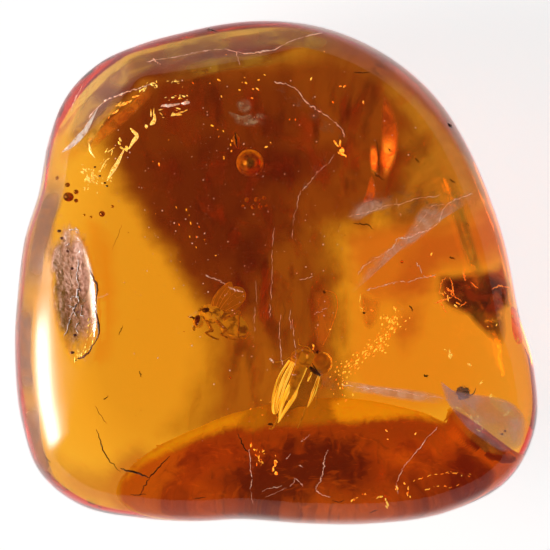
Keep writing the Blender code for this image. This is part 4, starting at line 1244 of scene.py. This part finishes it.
darkLines = (
    (((5.32, 3.39), (5.77, 3.39), (6.25, 3.39), (6.46, 3.25), (6.7, 2.97)), 0.040), (((5.84, 4.01),
        (6.12, 4.15), (6.46, 4.08)), 0.040),
    (((5.36, 13.89), (5.91, 13.82), (6.46, 13.89)), 0.040), (((11.99, 6.43), (12.13, 6.36),
        (12.33, 6.22)), 0.050), (((11.99, 1.11), (12.13, 1.04), (12.33, 0.97)), 0.050),
    (((13.03, 3.45), (13.16, 3.39), (13.3, 3.25)), 0.040), (((9.16, -2.28), (9.29, -2.42),
        (9.43, -2.63)), 0.050), (((10.19, -7.05), (10.33, -7.12), (10.47, -7.05)), 0.060),
    (((-12.5, -10.8), (-12.2, -11.5), (-12, -12.2), (-11.7, -12.7), (-11.4, -13.1),
        (-10.8, -13.7)), 0.050), (((-10.75, -13.54), (-10.19, -13.68), (-9.64, -13.82), (-9.22, -13.96),
        (-8.81, -14.17)), 0.085),
    (((-8.81, -14.17), (-8.6, -13.96), (-8.05, -13.34), (-7.36, -12.65)), 0.050), (((-8.81, -14.17),
        (-9.02, -14.58), (-9.22, -14.99), (-9.43, -15.41)), 0.040),
    (((-10.05, -15.27), (-9.57, -15.34), (-9.02, -15.27)), 0.040), (((-5.7, -15.55), (-5.29, -15.55),
        (-4.87, -15.48)), 0.040), (((-15.93, -12.71), (-15.79, -12.92), (-15.58, -13.13)), 0.050),
    (((-2.66, -11.13), (-2.38, -11.75), (-2.11, -12.23), (-1.83, -12.3)), 0.050), (((-10.88, -4.28),
        (-10.75, -3.94), (-10.61, -3.66)), 0.030), (((-9.43, -6.77), (-9.43, -6.98),
        (-9.36, -7.19)), 0.035),
    (((-11.92, -8.78), (-11.78, -8.64), (-11.64, -8.5)), 0.035), (((3.9, -15.75), (4.32, -15.82),
        (4.73, -15.75)), 0.040), (((6.46, -16.58), (6.74, -16.45), (7.01, -16.38)), 0.040),
    (((-10.68, 3.32), (-10.88, 2.83), (-11.09, 2.28), (-11.37, 1.59)), 0.014), (((6.53, 7.12),
        (6.81, 6.91), (7.01, 6.7), (7.5, 6.43)), 0.045),
    (((6.88, 9.19), (7.01, 8.36), (7.08, 7.46), (7.15, 6.77)), 0.030), (((7.7, 8.64), (7.84, 8.5),
        (7.98, 8.36)), 0.035), (((7.29, 5.04), (7.22, 4.84), (7.22, 4.63)), 0.035),
    (((9.57, 7.95), (9.71, 7.81), (9.85, 7.6)), 0.040), (((-12.54, -9.12), (-12.13, -9.88),
        (-11.71, -10.43)), 0.020), (((-4.94, 17), (-4.53, 16.79), (-4.11, 16.65)), 0.090),
    (((11.85, 10.3), (11.99, 10.16), (12.13, 10.02)), 0.140), (((-2.8, 9.67), (-2.8, 9.12),
        (-2.66, 8.64)), 0.06), (((3.28, -1.24), (3.35, -1.38)), 0.07),
    (((-0.59, -10.43), (-0.38, -10.43), (-0.24, -10.5)), 0.06), (((0.45, -1.87), (0.59, -2.69),
        (0.38, -3.66)), 0.014),
)


def crooked(rng, path, size):
    return [p + Vector((rng.gauss(0, size), rng.gauss(0, size), rng.gauss(0, size * 0.5))) for p in path]


def makeRidgeHighlightsAndPaleLines():
    shape = bmesh.new()
    rng = random.Random(21)
    for places, radius in ridgeHighlightsAndPaleLines:
        path = smoothPath([underTop(place, 0.07) for place in places], 7)
        path = crooked(rng, path, 0.035)
        # a scratch or ridge highlight comes and goes, so it is cut into runs
        start = 0
        while start < len(path) - 2:
            run = rng.randint(3, 9)
            part = path[start : start + run + 1]
            if len(part) > 2:
                width = radius * rng.uniform(0.5, 1.5)
                addTube(shape, part, (width * 0.3, width, width * 0.8, width * 0.3), 5)
            start += run + (rng.random() < 0.25)
    # dust and tiny chips, most of them over the dark resin
    for _ in range(420):
        place = Vector((rng.gauss(-2.5, 6.0), rng.gauss(4.5, 6.5)))
        if place.length < 15:
            size = 0.014 + 0.05 * rng.random() ** 4
            addBall(shape, underTop(place, 0.08), (size, size * rng.uniform(0.6, 1.2), size), None, 1)
    shade = Shade("paleCrack")
    grain = shade.cloudy(0.15, 4.0)
    tone = shade.mix(shade.fade(grain, 0.4, 0.7), (0.90, 0.52, 0.34), (0.96, 0.80, 0.70))
    # the glow is painted light, so that the lines shine
    body = shade.principled(
        BaseColor=tone, Roughness=0.5, Normal=shade.bump(grain, 0.02), EmissionColor=tone, EmissionStrength=0.4
    )
    return toObject("paleCracks", shape, shade.wear(shade.seeThrough(body, shade.fade(grain, 0.25, 0.5))), "amber")


def makeDarkLines():
    shape = bmesh.new()
    rng = random.Random(22)
    for places, radius in darkLines:
        path = crooked(rng, along(places, rng.uniform(11.0, 12.6), 5), 0.03)
        addTube(shape, path, (radius * 0.4, radius, radius * 0.9, radius * 0.3), 6)
    for _ in range(60):
        place = (rng.uniform(-15, 15), rng.uniform(-15, 14))
        if math.hypot(*place) < 15:
            size = rng.choice((0.02, 0.025, 0.03, 0.04))
            addBall(shape, showsAt(place, rng.uniform(9.5, 12.5)), (size, size * rng.uniform(0.5, 1), size), None, 1)
    for place in (((-12.54, 7.32), (-11.85, 6.22), (-11.71, 6.01), (-12.2, 6.7), (6.05, -2.76),
        (9.78, 2.76), (9.16, 2.28), (15.58, -11.13), (15.79, -10.92), (13.23, -8.57), (-0.38, -10.43))):
        addBall(shape, showsAt(place, 12.0), (0.10, 0.07, 0.05), None, 2)
    return toObject("darkSpecks", shape, chitin("darkSpeck", (0.12, 0.03, 0.006), (0.03, 0.008, 0.003), 0.3),
            "fly_brown")


makeRidgeHighlightsAndPaleLines()
makeDarkLines()
print("cracks and specks made")


# Larger inclusions
# Outline as it shows, level, its finish, how crisp the edge is and how much it waves.
def smoky(name, pale, dark, size, low, high, glow=0.0, rough=0.4, cover=1.0, stretch=(1, 1, 1)):
    shade = Shade(name)
    cloud = shade.cloudy(size, 4.0, stretch=stretch, distortion=1.0)
    tone = shade.mix(shade.fade(cloud, 0.35, 0.65), pale, dark)
    # glow is painted light: the film shines in its own tone as if lit
    body = shade.principled(
        BaseColor=tone, Roughness=rough, Normal=shade.bump(cloud, 0.06), EmissionColor=tone, EmissionStrength=glow
    )
    veil = shade.fade(shade.cloudy(size * 0.8, 4.0, stretch=stretch), low, high) * shade.marked("inside") * cover
    return shade.wear(shade.seeThrough(body, veil))


def addVeil(shape, outline, level, crisp=1.0, wave=0.12, waveSize=1.4, rings=14, skin=False, below=0.08):
    # one soft-edged sheet inside an outline; "inside" runs from 0 at its rim to 1 well within
    place = (lambda spot: underTop(spot, below)) if skin else (lambda spot: showsAt(spot, level))
    rim = [place(spot) for spot in smoothFlat(outline)]
    inside = shape.verts.layers.float.get("inside") or shape.verts.layers.float.new("inside")
    flats = smoothFlat(outline)
    middleFlat = sum(flats, Vector((0, 0))) / len(flats)
    loops = []
    for i in range(1, rings + 1):
        r = i / rings
        loop = []
        for flat, edge in zip(flats, rim):
            point = place(middleFlat + (flat - middleFlat) * r) if r < 1 else edge
            if not skin:
                point.z += wave * noise.noise(point / waveSize)
            vert = shape.verts.new(point)
            vert[inside] = min((1 - r) ** crisp * 2.5, 1.0)
            loop.append(vert)
        loops.append(loop)
    pole = shape.verts.new(place(middleFlat))
    pole[inside] = 1.0
    for k in range(len(flats)):
        shape.faces.new((pole, loops[0][k - 1], loops[0][k]))
    for first, second in zip(loops, loops[1:]):
        for k in range(len(flats)):
            shape.faces.new((first[k - 1], second[k - 1], second[k], first[k]))


def makeVeils(name, outlines, level, finish, slot="amber", **how):
    shape = bmesh.new()
    for outline in outlines:
        addVeil(shape, outline, level, **how)
    return toObject(name, shape, finish, slot)


# A rust-dark flake of bark at the right, and the tall red lens near the far side
barkLook = {
    "outline": ((11.2, -0.2), (12.1, -0.1), (12.9, 0), (13.8, 0.2), (14.7, 0.3), (15.6, -0.1),
        (16.3, -0.8), (16.4, -2.1), (15.9, -2.6), (15.9, -3.9), (15.7, -5), (14.8, -4.7), (14.2, -4.1),
        (13.6, -3.5), (13.1, -2.9), (12.3, -2.5), (11.6, -2.1), (11.4, -1.4)),
    "level": 10.6,
    "strip": ((16.2, -2.3), (16.5, -2.4), (16.8, -3.1), (16.9, -3.9), (17, -4.8), (16.6, -4.9),
        (16.3, -4.1), (16.2, -3.1)),
    "cracks": (
        (((10.88, -2.07), (11.37, -1.93), (11.78, -1.8), (12.13, -1.66)), 0.07), (((11.99, -0.28),
            (12.13, -0.83), (12.2, -1.24), (12.33, -1.66), (12.75, -1.93)), 0.05),
        (((11.78, -1.04), (11.99, -1.24), (12.2, -1.59)), 0.08), (((12.89, 0.07), (12.96, -0.28),
            (13.09, -0.48)), 0.05), (((13.37, -0.62), (13.65, -0.83), (13.92, -1.04)), 0.04),
        (((11.37, -2), (11.57, -2.49), (11.85, -2.83)), 0.04), (((11.64, -0.35), (11.37, -0.76),
            (11.23, -1.45)), 0.04), (((14.89, -1.11), (15.31, -0.9), (15.79, -0.97), (16.34, -1.17)), 0.05),
        (((12.75, -2.35), (12.96, -2.14), (13.16, -2)), 0.04), (((11.02, -0.28), (10.61, -0.21),
            (10.19, -0.28)), 0.05),
    ),
}


def makeBark():
    finish = smoky("barkFlake", (0.30, 0.03, 0.005), (0.05, 0.005, 0.002), 1.5, 0.20, 0.50, glow=0.25, cover=0.88)
    makeVeils("barkFlake", [barkLook["outline"]], barkLook["level"], finish, crisp=0.8, wave=0.4, waveSize=1.2)
    # cracks that run out from it, and the red strip where it comes near the polish
    shape = bmesh.new()
    rng = random.Random(14)
    for places, radius in barkLook["cracks"]:
        path = crooked(rng, along(places, barkLook["level"] + 0.4, 6), 0.03)
        addTube(shape, path, (radius * 0.3, radius, radius * 0.7, radius * 0.3), 5)
    toObject("barkCracks", shape, goldLeaf("crackGlint", (0.75, 0.09, 0.01), (1.0, 0.36, 0.06), 0.8), "amber")
    finish = smoky("redStrip", (1.0, 0.13, 0.03), (0.55, 0.04, 0.01), 0.8, 0.15, 0.45, glow=0.8, cover=0.85)
    makeVeils("redStrip", [barkLook["strip"]], 9.5, finish, crisp=0.5, wave=0.1)


makeBark()

redLens = (
    ((7.4, 12.5), (7.9, 11.7), (8.3, 10.6), (8.5, 9.5), (8.3, 8.6), (8, 7.8), (7.7, 6.6), (7.2, 6.6),
        (7.1, 7.8), (7.2, 9.2), (7.2, 10.7)),
    ((6.53, 8.71), (6.88, 8.78), (7.08, 7.95), (7.01, 6.98), (6.6, 6.91), (6.46, 7.81)),
    ((6.53, 6.77), (6.88, 6.01), (6.81, 5.04), (6.32, 4.7), (5.91, 4.77), (6.18, 5.6)),
)
makeVeils("redLenses", redLens, 11.0,
          smoky("redLens", (0.90, 0.16, 0.010), (0.45, 0.05, 0.004), 1.6, 0.10, 0.40, glow=0.5, cover=0.8),
          crisp=0.9, wave=0.25)
# Painted light: brighter, glowing copies of the red lenses where they look lit
litLens = (((7.2, 9.5), (7.8, 9.7), (8.5, 9.2), (8.4, 8.1), (7.9, 6.8), (7.4, 6.3), (7.2, 7.8)),
    ((6.46, 8.91), (6.88, 8.91), (7.08, 7.95), (6.94, 6.7), (6.53, 6.84), (6.39, 7.81)))
makeVeils("litLenses", litLens, 11.3,
          smoky("litLens", (1.0, 0.34, 0.03), (1.0, 0.13, 0.01), 0.7, 0.10, 0.40, glow=1.0, cover=0.95),
          crisp=1.8, wave=0.1)

# Curtains of finer, redder resin that give the dark part its grain
curtains = (
    ((-10.3, 12), (-7, 13.7), (-1.8, 14.6), (3, 14), (6.5, 11.6), (6.6, 7.5), (3.7, 3.3), (1.6, -1.2),
        (-1, -4.3), (-3.8, -1.9), (-6.7, 1.9), (-9.6, 5)),
    ((1.6, 14.7), (6.6, 14.3), (10.3, 11.3), (11.9, 7.5), (10.6, 4), (7.2, 3.3), (4, 5.7), (2.3, 9.9)),
    ((-4.2, 0.2), (0.9, 2.3), (4.4, 0.2), (5.2, -4.6), (4.4, -9.1), (0.6, -11), (-3.1, -10.2),
        (-4.3, -5.3)),
)
makeVeils("redCurtains", curtains, 2.6,
          smoky("redCurtain", (0.58, 0.11, 0.006), (0.18, 0.018, 0.002), 1.7, 0.44, 0.68, glow=0.20, cover=0.6,
                stretch=(1.0, 0.45, 1.0)),
          crisp=0.7, wave=0.5, waveSize=2.5)
makeVeils("amberCurtains", curtains[:2], 1.8,
          smoky("amberCurtain", (0.70, 0.22, 0.02), (0.42, 0.10, 0.006), 1.2, 0.52, 0.78, glow=0.16, cover=0.5,
                stretch=(0.4, 1.0, 1.0)),
          crisp=0.7, wave=0.4, waveSize=1.8)

# Milky films just under the polish
milk = (
    ((5, 5.3), (7.2, 5.7), (9.9, 5.9), (13.6, 5.7), (13.4, 4.6), (10.3, 4.2), (7.5, 3.8), (5.2, 4.1)),
    ((9.57, 3.25), (10.26, 4.56), (11.64, 4.84), (11.02, 3.66)),
    ((-0.3, 13.1), (1.6, 12.5), (3.7, 10.7), (5.1, 8.5), (3.7, 9.2), (2, 11.1), (0.4, 12.1)),
        ((3.7, 8.5), (3, 6.8), (1.6, 5.4), (2.3, 7)),
    ((2.5, -6.4), (3.8, -6.8), (5.1, -7.7), (3.7, -8.2), (2.7, -7.4)), ((8.3, 2.3), (5.6, -0.2),
        (6.2, 0.8), (7.7, 1.9)),
)
makeVeils("crackHaze", (
    ((5.1, -1.5), (5.8, -0.2), (6.6, 0.8), (7.8, 1.8), (8.7, 2.6), (9.4, 3.5), (10.5, 4.1), (11.7, 4.6),
        (12.8, 5.5), (13.8, 6), (13.5, 5), (12.5, 4.4), (11.4, 3.6), (10.5, 2.8), (9.4, 1.9),
        (8.3, 1.3), (7.2, 0.3), (6.2, -0.6)),
    ((4.8, 3.9), (5.5, 4.8), (6.7, 5.3), (8.1, 5.2), (8, 4.5), (6.6, 4.1), (5.5, 3.5)), ((9.36, 3.52),
        (9.92, 4.49), (10.88, 4.91), (11.57, 4.49), (11.02, 3.66), (9.92, 3.11)),
    ((4.5, -7.4), (6.5, -7.7), (8.5, -7.9), (10.6, -8.2), (12.1, -8.6), (11.3, -9.1), (8.5, -8.8),
        (6.2, -8.4), (4.7, -8.1)),
), 13.0, smoky("crackHaze", (0.84, 0.60, 0.48), (0.66, 0.36, 0.24), 0.9, 0.15, 0.50, 0.35, rough=0.6, cover=0.6),
          crisp=1.4, skin=True, below=0.12)
makeVeils("orangeBand", (((-13.2, 8.9), (-12.2, 10.1), (-11, 11.1), (-9.7, 12.1), (-8.9, 12.9),
    (-8.5, 12.4), (-9.4, 11.4), (-10.5, 10.3), (-11.8, 9.3), (-12.7, 8.5)),), 11.0,
          smoky("orangeBand", (0.95, 0.26, 0.02), (0.70, 0.13, 0.01), 0.8, 0.20, 0.55, glow=0.4, cover=0.62),
          crisp=0.9, wave=0.1)
# Painted highlight: a pale glowing film along the upper-left ridge where it catches the light
makeVeils("paintedRidgeHighlight", (((-14.9, 8.3), (-14.4, 8.8), (-13.9, 9.4), (-13.4, 9.9), (-13, 10.4),
    (-12.6, 11.1), (-12.3, 11.5), (-12.5, 11), (-12.8, 10.3), (-13.1, 9.7), (-13.6, 9.1),
    (-14.2, 8.6)),), 13.0,
          smoky("paintedRidgeHighlight", (0.98, 0.88, 0.80), (0.76, 0.55, 0.48), 0.5, 0.20, 0.52, glow=0.22, rough=0.5, cover=0.9),
          crisp=0.4, skin=True, below=0.05)
# A dark, faintly glowing film along the left rim: partly haze and partly painted shade, covering the floor's reflection
# there
makeVeils("leftRimHazeAndShade", (
    ((-17.8, -1.7), (-17.6, 0.8), (-17.1, 3.2), (-16.5, 5.6), (-15.7, 7.1), (-14.5, 7.1), (-14.5, 5.7),
        (-15, 4.1), (-15.5, 2.1), (-16.1, 0.2), (-16.5, -1.9)),
    ((-18, -1.2), (-18.1, -3.9), (-18, -6.8), (-17.7, -9.3), (-16.6, -9.3), (-16.8, -6.8),
        (-16.8, -4.2), (-16.8, -1.3)), ((-17.9, -8.5), (-17.4, -10.8), (-16.8, -13.2), (-15.9, -15),
        (-15.2, -14.6), (-15.9, -12.6), (-16.3, -10.5), (-16.6, -8.2)),
), 13.0, smoky("leftRimHazeAndShade", (0.27, 0.105, 0.075), (0.40, 0.14, 0.055), 1.6, 0.05, 0.35, glow=0.10, rough=0.5,
               cover=0.88),
          crisp=1.4, skin=True, below=0.10)
# Painted light: glowing films on the far and upper-left bevels and the right rim, giving the gold these edges let
# through and covering the floor's reflection there
makeVeils("farGlowFilms", (
    ((-14.8, 8.6), (-14.4, 10.3), (-13.7, 11.7), (-12.5, 13.3), (-11.4, 12.5), (-12.2, 11.3),
        (-13, 9.9), (-13.9, 8.4)), ((-12.7, 12.9), (-11.6, 14.2), (-10.3, 15.1), (-8.6, 15.9),
        (-7.5, 14.7), (-8.9, 13.8), (-10.3, 12.9), (-11.5, 12.1)),
    ((-9.4, 15.4), (-7, 16.4), (-4.6, 16.9), (-2.2, 17.2), (-1.8, 15.7), (-4.2, 15.1), (-6.3, 14.6),
        (-8.4, 14)), ((-3.1, 17), (-1, 17.3), (1.6, 17.3), (3.8, 16.7), (5.2, 16), (4.5, 15), (2, 15.4),
        (-0.4, 15.5), (-2.8, 15.7)),
    ((-8.7, 14), (-6, 15), (-2.5, 15.4), (0.9, 15.5), (2, 15), (-0.4, 14.3), (-3.9, 13.8),
        (-7.4, 13.1)), ((-14, 8.5), (-13.2, 10.3), (-11.9, 11.8), (-10.5, 12.8), (-10, 12.2),
        (-11.4, 11), (-12.5, 9.5), (-13.3, 8.1)),
    ((11.5, 7.4), (12.2, 7.3), (13.1, 4.7), (13.9, 1.9), (14.8, -1.3), (14.1, -1.6), (13.1, 0.6),
        (12.3, 3.3), (11.6, 5.7)),
), 13.0, smoky("farGlowFilm", (0.62, 0.31, 0.02), (0.44, 0.15, 0.008), 1.8, 0.10, 0.45, glow=0.35, rough=0.5, cover=0.82),
          crisp=1.6, skin=True, below=0.2)
makeVeils("milkyFilms", milk, 13.0,
          smoky("milkyFilm", (0.86, 0.70, 0.62), (0.72, 0.50, 0.42), 0.7, 0.42, 0.80, rough=0.6, cover=0.42),
          crisp=0.8, skin=True, below=0.10)

# A pale torn flake over the dark resin: a woolly middle and a ribbed fan
makeVeils("paleFlake", (
    ((-2.87, 11.61), (-2.59, 11.95), (-2.11, 12.09), (-1.76, 11.82), (-1.69, 11.33), (-2.11, 10.99),
        (-2.59, 11.13)),
    ((-3.4, 11.2), (-2.8, 10.8), (-2.1, 11), (-1.3, 11.1), (-0.6, 10.9), (-0.4, 10.6), (-0.9, 10.2),
        (-1.8, 10.1), (-2.7, 10.2), (-3.1, 10.6)),
), 12.6, smoky("paleFlake", (0.74, 0.66, 0.52), (0.55, 0.26, 0.15), 0.5, 0.30, 0.62, glow=0.22, rough=0.6, cover=0.7),
          crisp=1.2, wave=0.05)
# Two loose wings, thin and torn
looseWings = (
    ((2.7, -1.3), (3.4, -1), (4, -1.6), (4.2, -2.6), (4, -3.4), (3.8, -4.2), (3.5, -5), (3, -5.6),
        (2.7, -4.9), (2.6, -3.6), (2.5, -2.2)),
    ((5.84, -1.45), (6.46, -1.59), (7.15, -1.87), (7.22, -2.69), (6.88, -3.66), (6.32, -3.94),
        (5.91, -3.39), (5.77, -2.42)),
)
makeVeils("looseWingFilms", looseWings, 10.8,
          smoky("looseWing", (0.90, 0.25, 0.02), (0.66, 0.14, 0.01), 0.9, 0.15, 0.55, glow=0.38, cover=0.6,
                stretch=(1.0, 0.4, 1.0)),
          crisp=0.9, wave=0.12)


wingEdges = (((3.4, -1.2), (4, -1.4), (4.2, -1.9), (4.2, -2.4), (4, -3.2), (3.6, -4.2), (3.2, -5)),
    ((5.91, -1.59), (6.05, -2.28), (6.12, -3.11), (6.32, -3.8)))
shape = bmesh.new()
for places, radius in zip(wingEdges, (0.030, 0.014)):
    addTube(shape, along(places, 10.9, 5), (radius * 0.4, radius, radius, radius * 0.3), 5)
toObject("looseWingVeins", shape, goldLeaf("wingVein", (0.70, 0.14, 0.01), (0.95, 0.34, 0.04), 0.42), "amber")


# The natural pit at the left and the ground scoop at the right
pitOutline = ((-16.2, 2.8), (-15.4, 3.8), (-14.4, 4.1), (-13.6, 3.7), (-12.9, 2.6), (-12.6, 1.3),
    (-12.3, 0.2), (-12.2, -1.2), (-12.3, -2.6), (-12.1, -3.9), (-12.3, -5.2), (-13, -6), (-13.7, -6.4),
    (-14.5, -6), (-15.2, -4.8), (-15.5, -3.1), (-15.7, -1.5), (-15.8, 0.1), (-16.2, 1.5))
scoopOutline = ((11.3, -7.5), (11.8, -7.9), (12.8, -8.2), (14.1, -8.4), (15.4, -8.6), (16.5, -9.1),
    (17.2, -10), (17.2, -11.3), (16.8, -12.1), (15.8, -12.4), (14.9, -12), (13.9, -11.3), (13.1, -10.7),
    (12.3, -9.7), (11.7, -8.8))


pitCrest = (
    (((-13.79, 1.04), (-13.65, 0.35), (-13.79, -0.21), (-13.58, -0.76)), 0.045), (((-13.58, -0.76),
        (-13.72, -1.31), (-13.65, -1.87), (-13.92, -2.42), (-14.2, -3.11)), 0.06), (((-14.2, -3.11),
        (-14.41, -3.8), (-14.68, -4.42)), 0.05),
    (((-14.27, -2.28), (-13.99, -2.56), (-13.85, -2.97)), 0.035), (((-13.92, -1.59),
        (-14.2, -1.87)), 0.035), (((-13.58, -3.39), (-13.85, -3.8), (-13.72, -4.22)), 0.035),
    (((-13.3, -2.14), (-13.51, -2.69), (-13.3, -3.11)), 0.03), (((-14.27, 2.83), (-13.92, 3.11),
        (-13.65, 2.83)), 0.035), (((-14.55, 1.87), (-14.27, 2.07)), 0.03),
)
pitGold = ((-12.96, -3.18), (-12.89, -3.52), (-13.03, -3.94), (-12.75, -4.22), (-12.68, -4.77),
    (-12.89, -5.18), (-13.16, -5.46), (-13.44, -5.74), (-13.72, -5.87), (-13.92, -6.01),
    (-13.16, -4.98), (-13.3, -5.32), (-13.03, -4.49))


def makePit():
    shape = bmesh.new()
    addVeil(shape, pitOutline, 0, crisp=1.3, skin=True, below=-0.03, rings=26)
    rng = random.Random(3)
    for vert in shape.verts:
        vert.co.z += 0.07 * noise.noise(vert.co / 0.35) + 0.05 * noise.noise(vert.co / 0.12)
    shade = Shade("pitCrust")
    rough = shade.cloudy(1.3, 5.0, stretch=(1.0, 0.5, 1.0), distortion=0.8)
    fine = shade.cloudy(0.22, 4.0)
    tone = shade.ramp(
        rough * 0.6 + fine * 0.4,
        (0.36, (0.06, 0.010, 0.006)), (0.44, (0.20, 0.06, 0.035)), (0.53, (0.38, 0.16, 0.11)),
        (0.63, (0.66, 0.38, 0.30)), (0.72, (0.95, 0.78, 0.70)),
    )
    body = shade.principled(BaseColor=tone, Roughness=0.7, Normal=shade.bump(rough + fine * 0.5, 0.25))
    cover = shade.fade(rough * 0.8 + shade.marked("inside") * 0.5, 0.46, 0.86) * 0.86
    toObject("pitCrust", shape, shade.wear(shade.seeThrough(body, cover)), "amber")
    # its bright broken crest, and gold that shines in its lower hollow
    shape = bmesh.new()
    for places, radius in pitCrest:
        path = smoothPath([underTop(place, -0.05) for place in places], 6)
        addTube(shape, crooked(rng, path, 0.06), (radius * 0.3, radius, radius * 0.5, radius, radius * 0.2), 6)
    toObject("pitCrest", shape, chitin("pitCrest", (0.98, 0.90, 0.86), (0.70, 0.45, 0.38), 0.3, 0.5), "amber")
    shape = bmesh.new()
    for place in pitGold:
        addFlake(shape, rng, underTop(place, -0.03), rng.uniform(0.8, 1.8), (0.26, 0.05), spread=0.3)
    toObject("pitGold", shape, goldLeaf("pitGlint", (0.42, 0.16, 0.01), (1.0, 0.68, 0.14), 0.7), "amber")
    # dark lip along its right side
    shape = bmesh.new()
    lip = smoothPath([underTop(p, 0.05) for p in ((-13, 0.8), (-12.8, 0), (-12.4, -1), (-12.5, -1.8),
        (-12.5, -2.6), (-12.3, -3.6), (-12.3, -4.3), (-12.7, -5), (-13.1, -5.6), (-13.6, -5.9),
        (-14, -6.1))], 6)
    addTube(shape, crooked(rng, lip, 0.03), (0.02, 0.09, 0.05, 0.10, 0.04, 0.09, 0.02), 6)
    for place in ((-15, 2.9), (-14.8, 2.4), (-14.4, 1.5), (-14.1, 0.3), (-13.6, -1.2), (-13.7, -2.7),
        (-13.9, -4.3), (-14.1, -5.5)):
        addBall(shape, underTop(place, 0.0), (0.16, 0.10, 0.05), None, 2)
    toObject("pitLip", shape, chitin("pitStain", (0.24, 0.05, 0.012), (0.08, 0.014, 0.004), 0.3), "amber")


def makeScoop():
    shape = bmesh.new()
    # a dull satin film over the scoop; its lavender-pink tone and glow are a painted reflection of the light the hollow
    # catches
    addVeil(shape, scoopOutline, 0, crisp=0.5, skin=True, below=-0.015, rings=16)
    shade = Shade("scoopSatinAndPaintedSheen")
    haze = shade.cloudy(1.8, 4.0)
    fine = shade.cloudy(0.18, 4.0, stretch=(1.0, 0.2, 1.0))
    tone = shade.mix(shade.fade(haze, 0.35, 0.65), (0.60, 0.28, 0.29), (0.82, 0.52, 0.53))
    body = shade.principled(
        BaseColor=tone, Roughness=0.42, Normal=shade.bump(fine, 0.02), EmissionColor=tone, EmissionStrength=0.25
    )
    cover = shade.marked("inside") * (shade.fade(haze, 0.25, 0.75) * 0.25 + 0.46)
    toObject("scoopSatinAndPaintedSheen", shape, shade.wear(shade.seeThrough(body, cover)), "amber")
    # a fuzzy mote with one little leg, caught beside it
    shape = bmesh.new()
    rng = random.Random(31)
    middle = showsAt((12.89, -8.29), 12.3)
    for vert in addBall(shape, middle, (0.50, 0.42, 0.25), Matrix.Rotation(math.radians(-40), 4, "Z"), 4):
        vert.co += (vert.co - middle) * 0.5 * noise.noise(vert.co / 0.3)
    spots = []
    for _ in range(70):
        outward = Vector((rng.gauss(0, 1), rng.gauss(0, 1), rng.gauss(0, 0.5))).normalized()
        spots.append((middle + outward * 0.36, outward))
    addBristles(shape, rng, spots, 0.30, 0.014, 0)
    addTube(shape, along(((13.3, -8.5), (13.58, -8.36), (13.72, -8.15), (13.79, -7.95)), 12.2, 3),
        (0.05, 0.04, 0.02), 6)
    toObject("fuzzyMote", shape, chitin("moteFuzz", (0.46, 0.30, 0.16), (0.22, 0.12, 0.06), 0.3, 0.6, 0.15),
            "fly_brown")


makePit()
makeScoop()
print("larger inclusions made")


# Floor, light and camera
def setStudio():
    shape = bmesh.new()
    bmesh.ops.create_grid(shape, size=studio["floorHalf"], x_segments=2, y_segments=2)
    bmesh.ops.translate(shape, vec=(0, 0, -studio["floorGap"]), verts=shape.verts)
    shade = Shade("paleTable")
    spot = shade.make("ShaderNodeVectorMath", {"operation": "ABSOLUTE"}, {0: shade.scaled(1.0)}, "Vector")
    across, back = (shade.make("ShaderNodeSeparateXYZ", {}, {"Vector": spot}, axis) for axis in "XY")
    power = studio["squareness"]
    sides = across.sum("POWER", across, power) + across.sum("POWER", back, power)
    reach = across.sum("POWER", sides, 1 / power)
    out = shade.fade(reach, *studio["litHalf"])
    lit = shade.mix(out, (1, 1, 1), [studio["floorDim"]] * 3)
    material = shade.wear(shade.principled(
        BaseColor=studio["floor"], Roughness=studio["floorRoughness"], EmissionColor=lit,
        EmissionStrength=studio["floorGlow"]
    ))
    toObject("floor", shape, material)
    world = bpy.data.worlds.new("studio")
    world.use_nodes = True
    world.node_tree.nodes["Background"].inputs["Color"].default_value = (1, 1, 1, 1)
    world.node_tree.nodes["Background"].inputs["Strength"].default_value = studio["worldStrength"]
    scene = bpy.context.scene
    scene.world = world
    for name, (place, size, radiance) in studio["lights"].items():
        lamp = bpy.data.lights.new(name, "AREA")
        lamp.shape = "RECTANGLE"
        lamp.size, lamp.size_y = size
        lamp.energy = radiance * math.pi * size[0] * size[1]
        if name.startswith("left"):
            lamp.color = studio["leftTint"]
        box = bpy.data.objects.new(name, lamp)
        box.location = place
        box.rotation_euler = (-Vector(place)).to_track_quat("-Z", "Y").to_euler()
        scene.collection.objects.link(box)
    lens = bpy.data.cameras.new("camera")
    lens.sensor_width = studio["sensorWidth"]
    lens.lens = lens.sensor_width * (studio["cameraAt"][2] - studio["viewLevel"]) / studio["viewWidth"]
    lens.clip_start = 0.01
    camera = bpy.data.objects.new("camera", lens)
    camera.location = Vector(studio["cameraAt"]) * mm
    scene.collection.objects.link(camera)
    scene.camera = camera
    scene.view_settings.view_transform = "Standard"
    scene.cycles.max_bounces = studio["bounces"]
    scene.cycles.transmission_bounces = studio["bounces"]
    scene.cycles.transparent_max_bounces = studio["filmBounces"]
    scene.cycles.use_denoising = True


setStudio()
print("studio set")
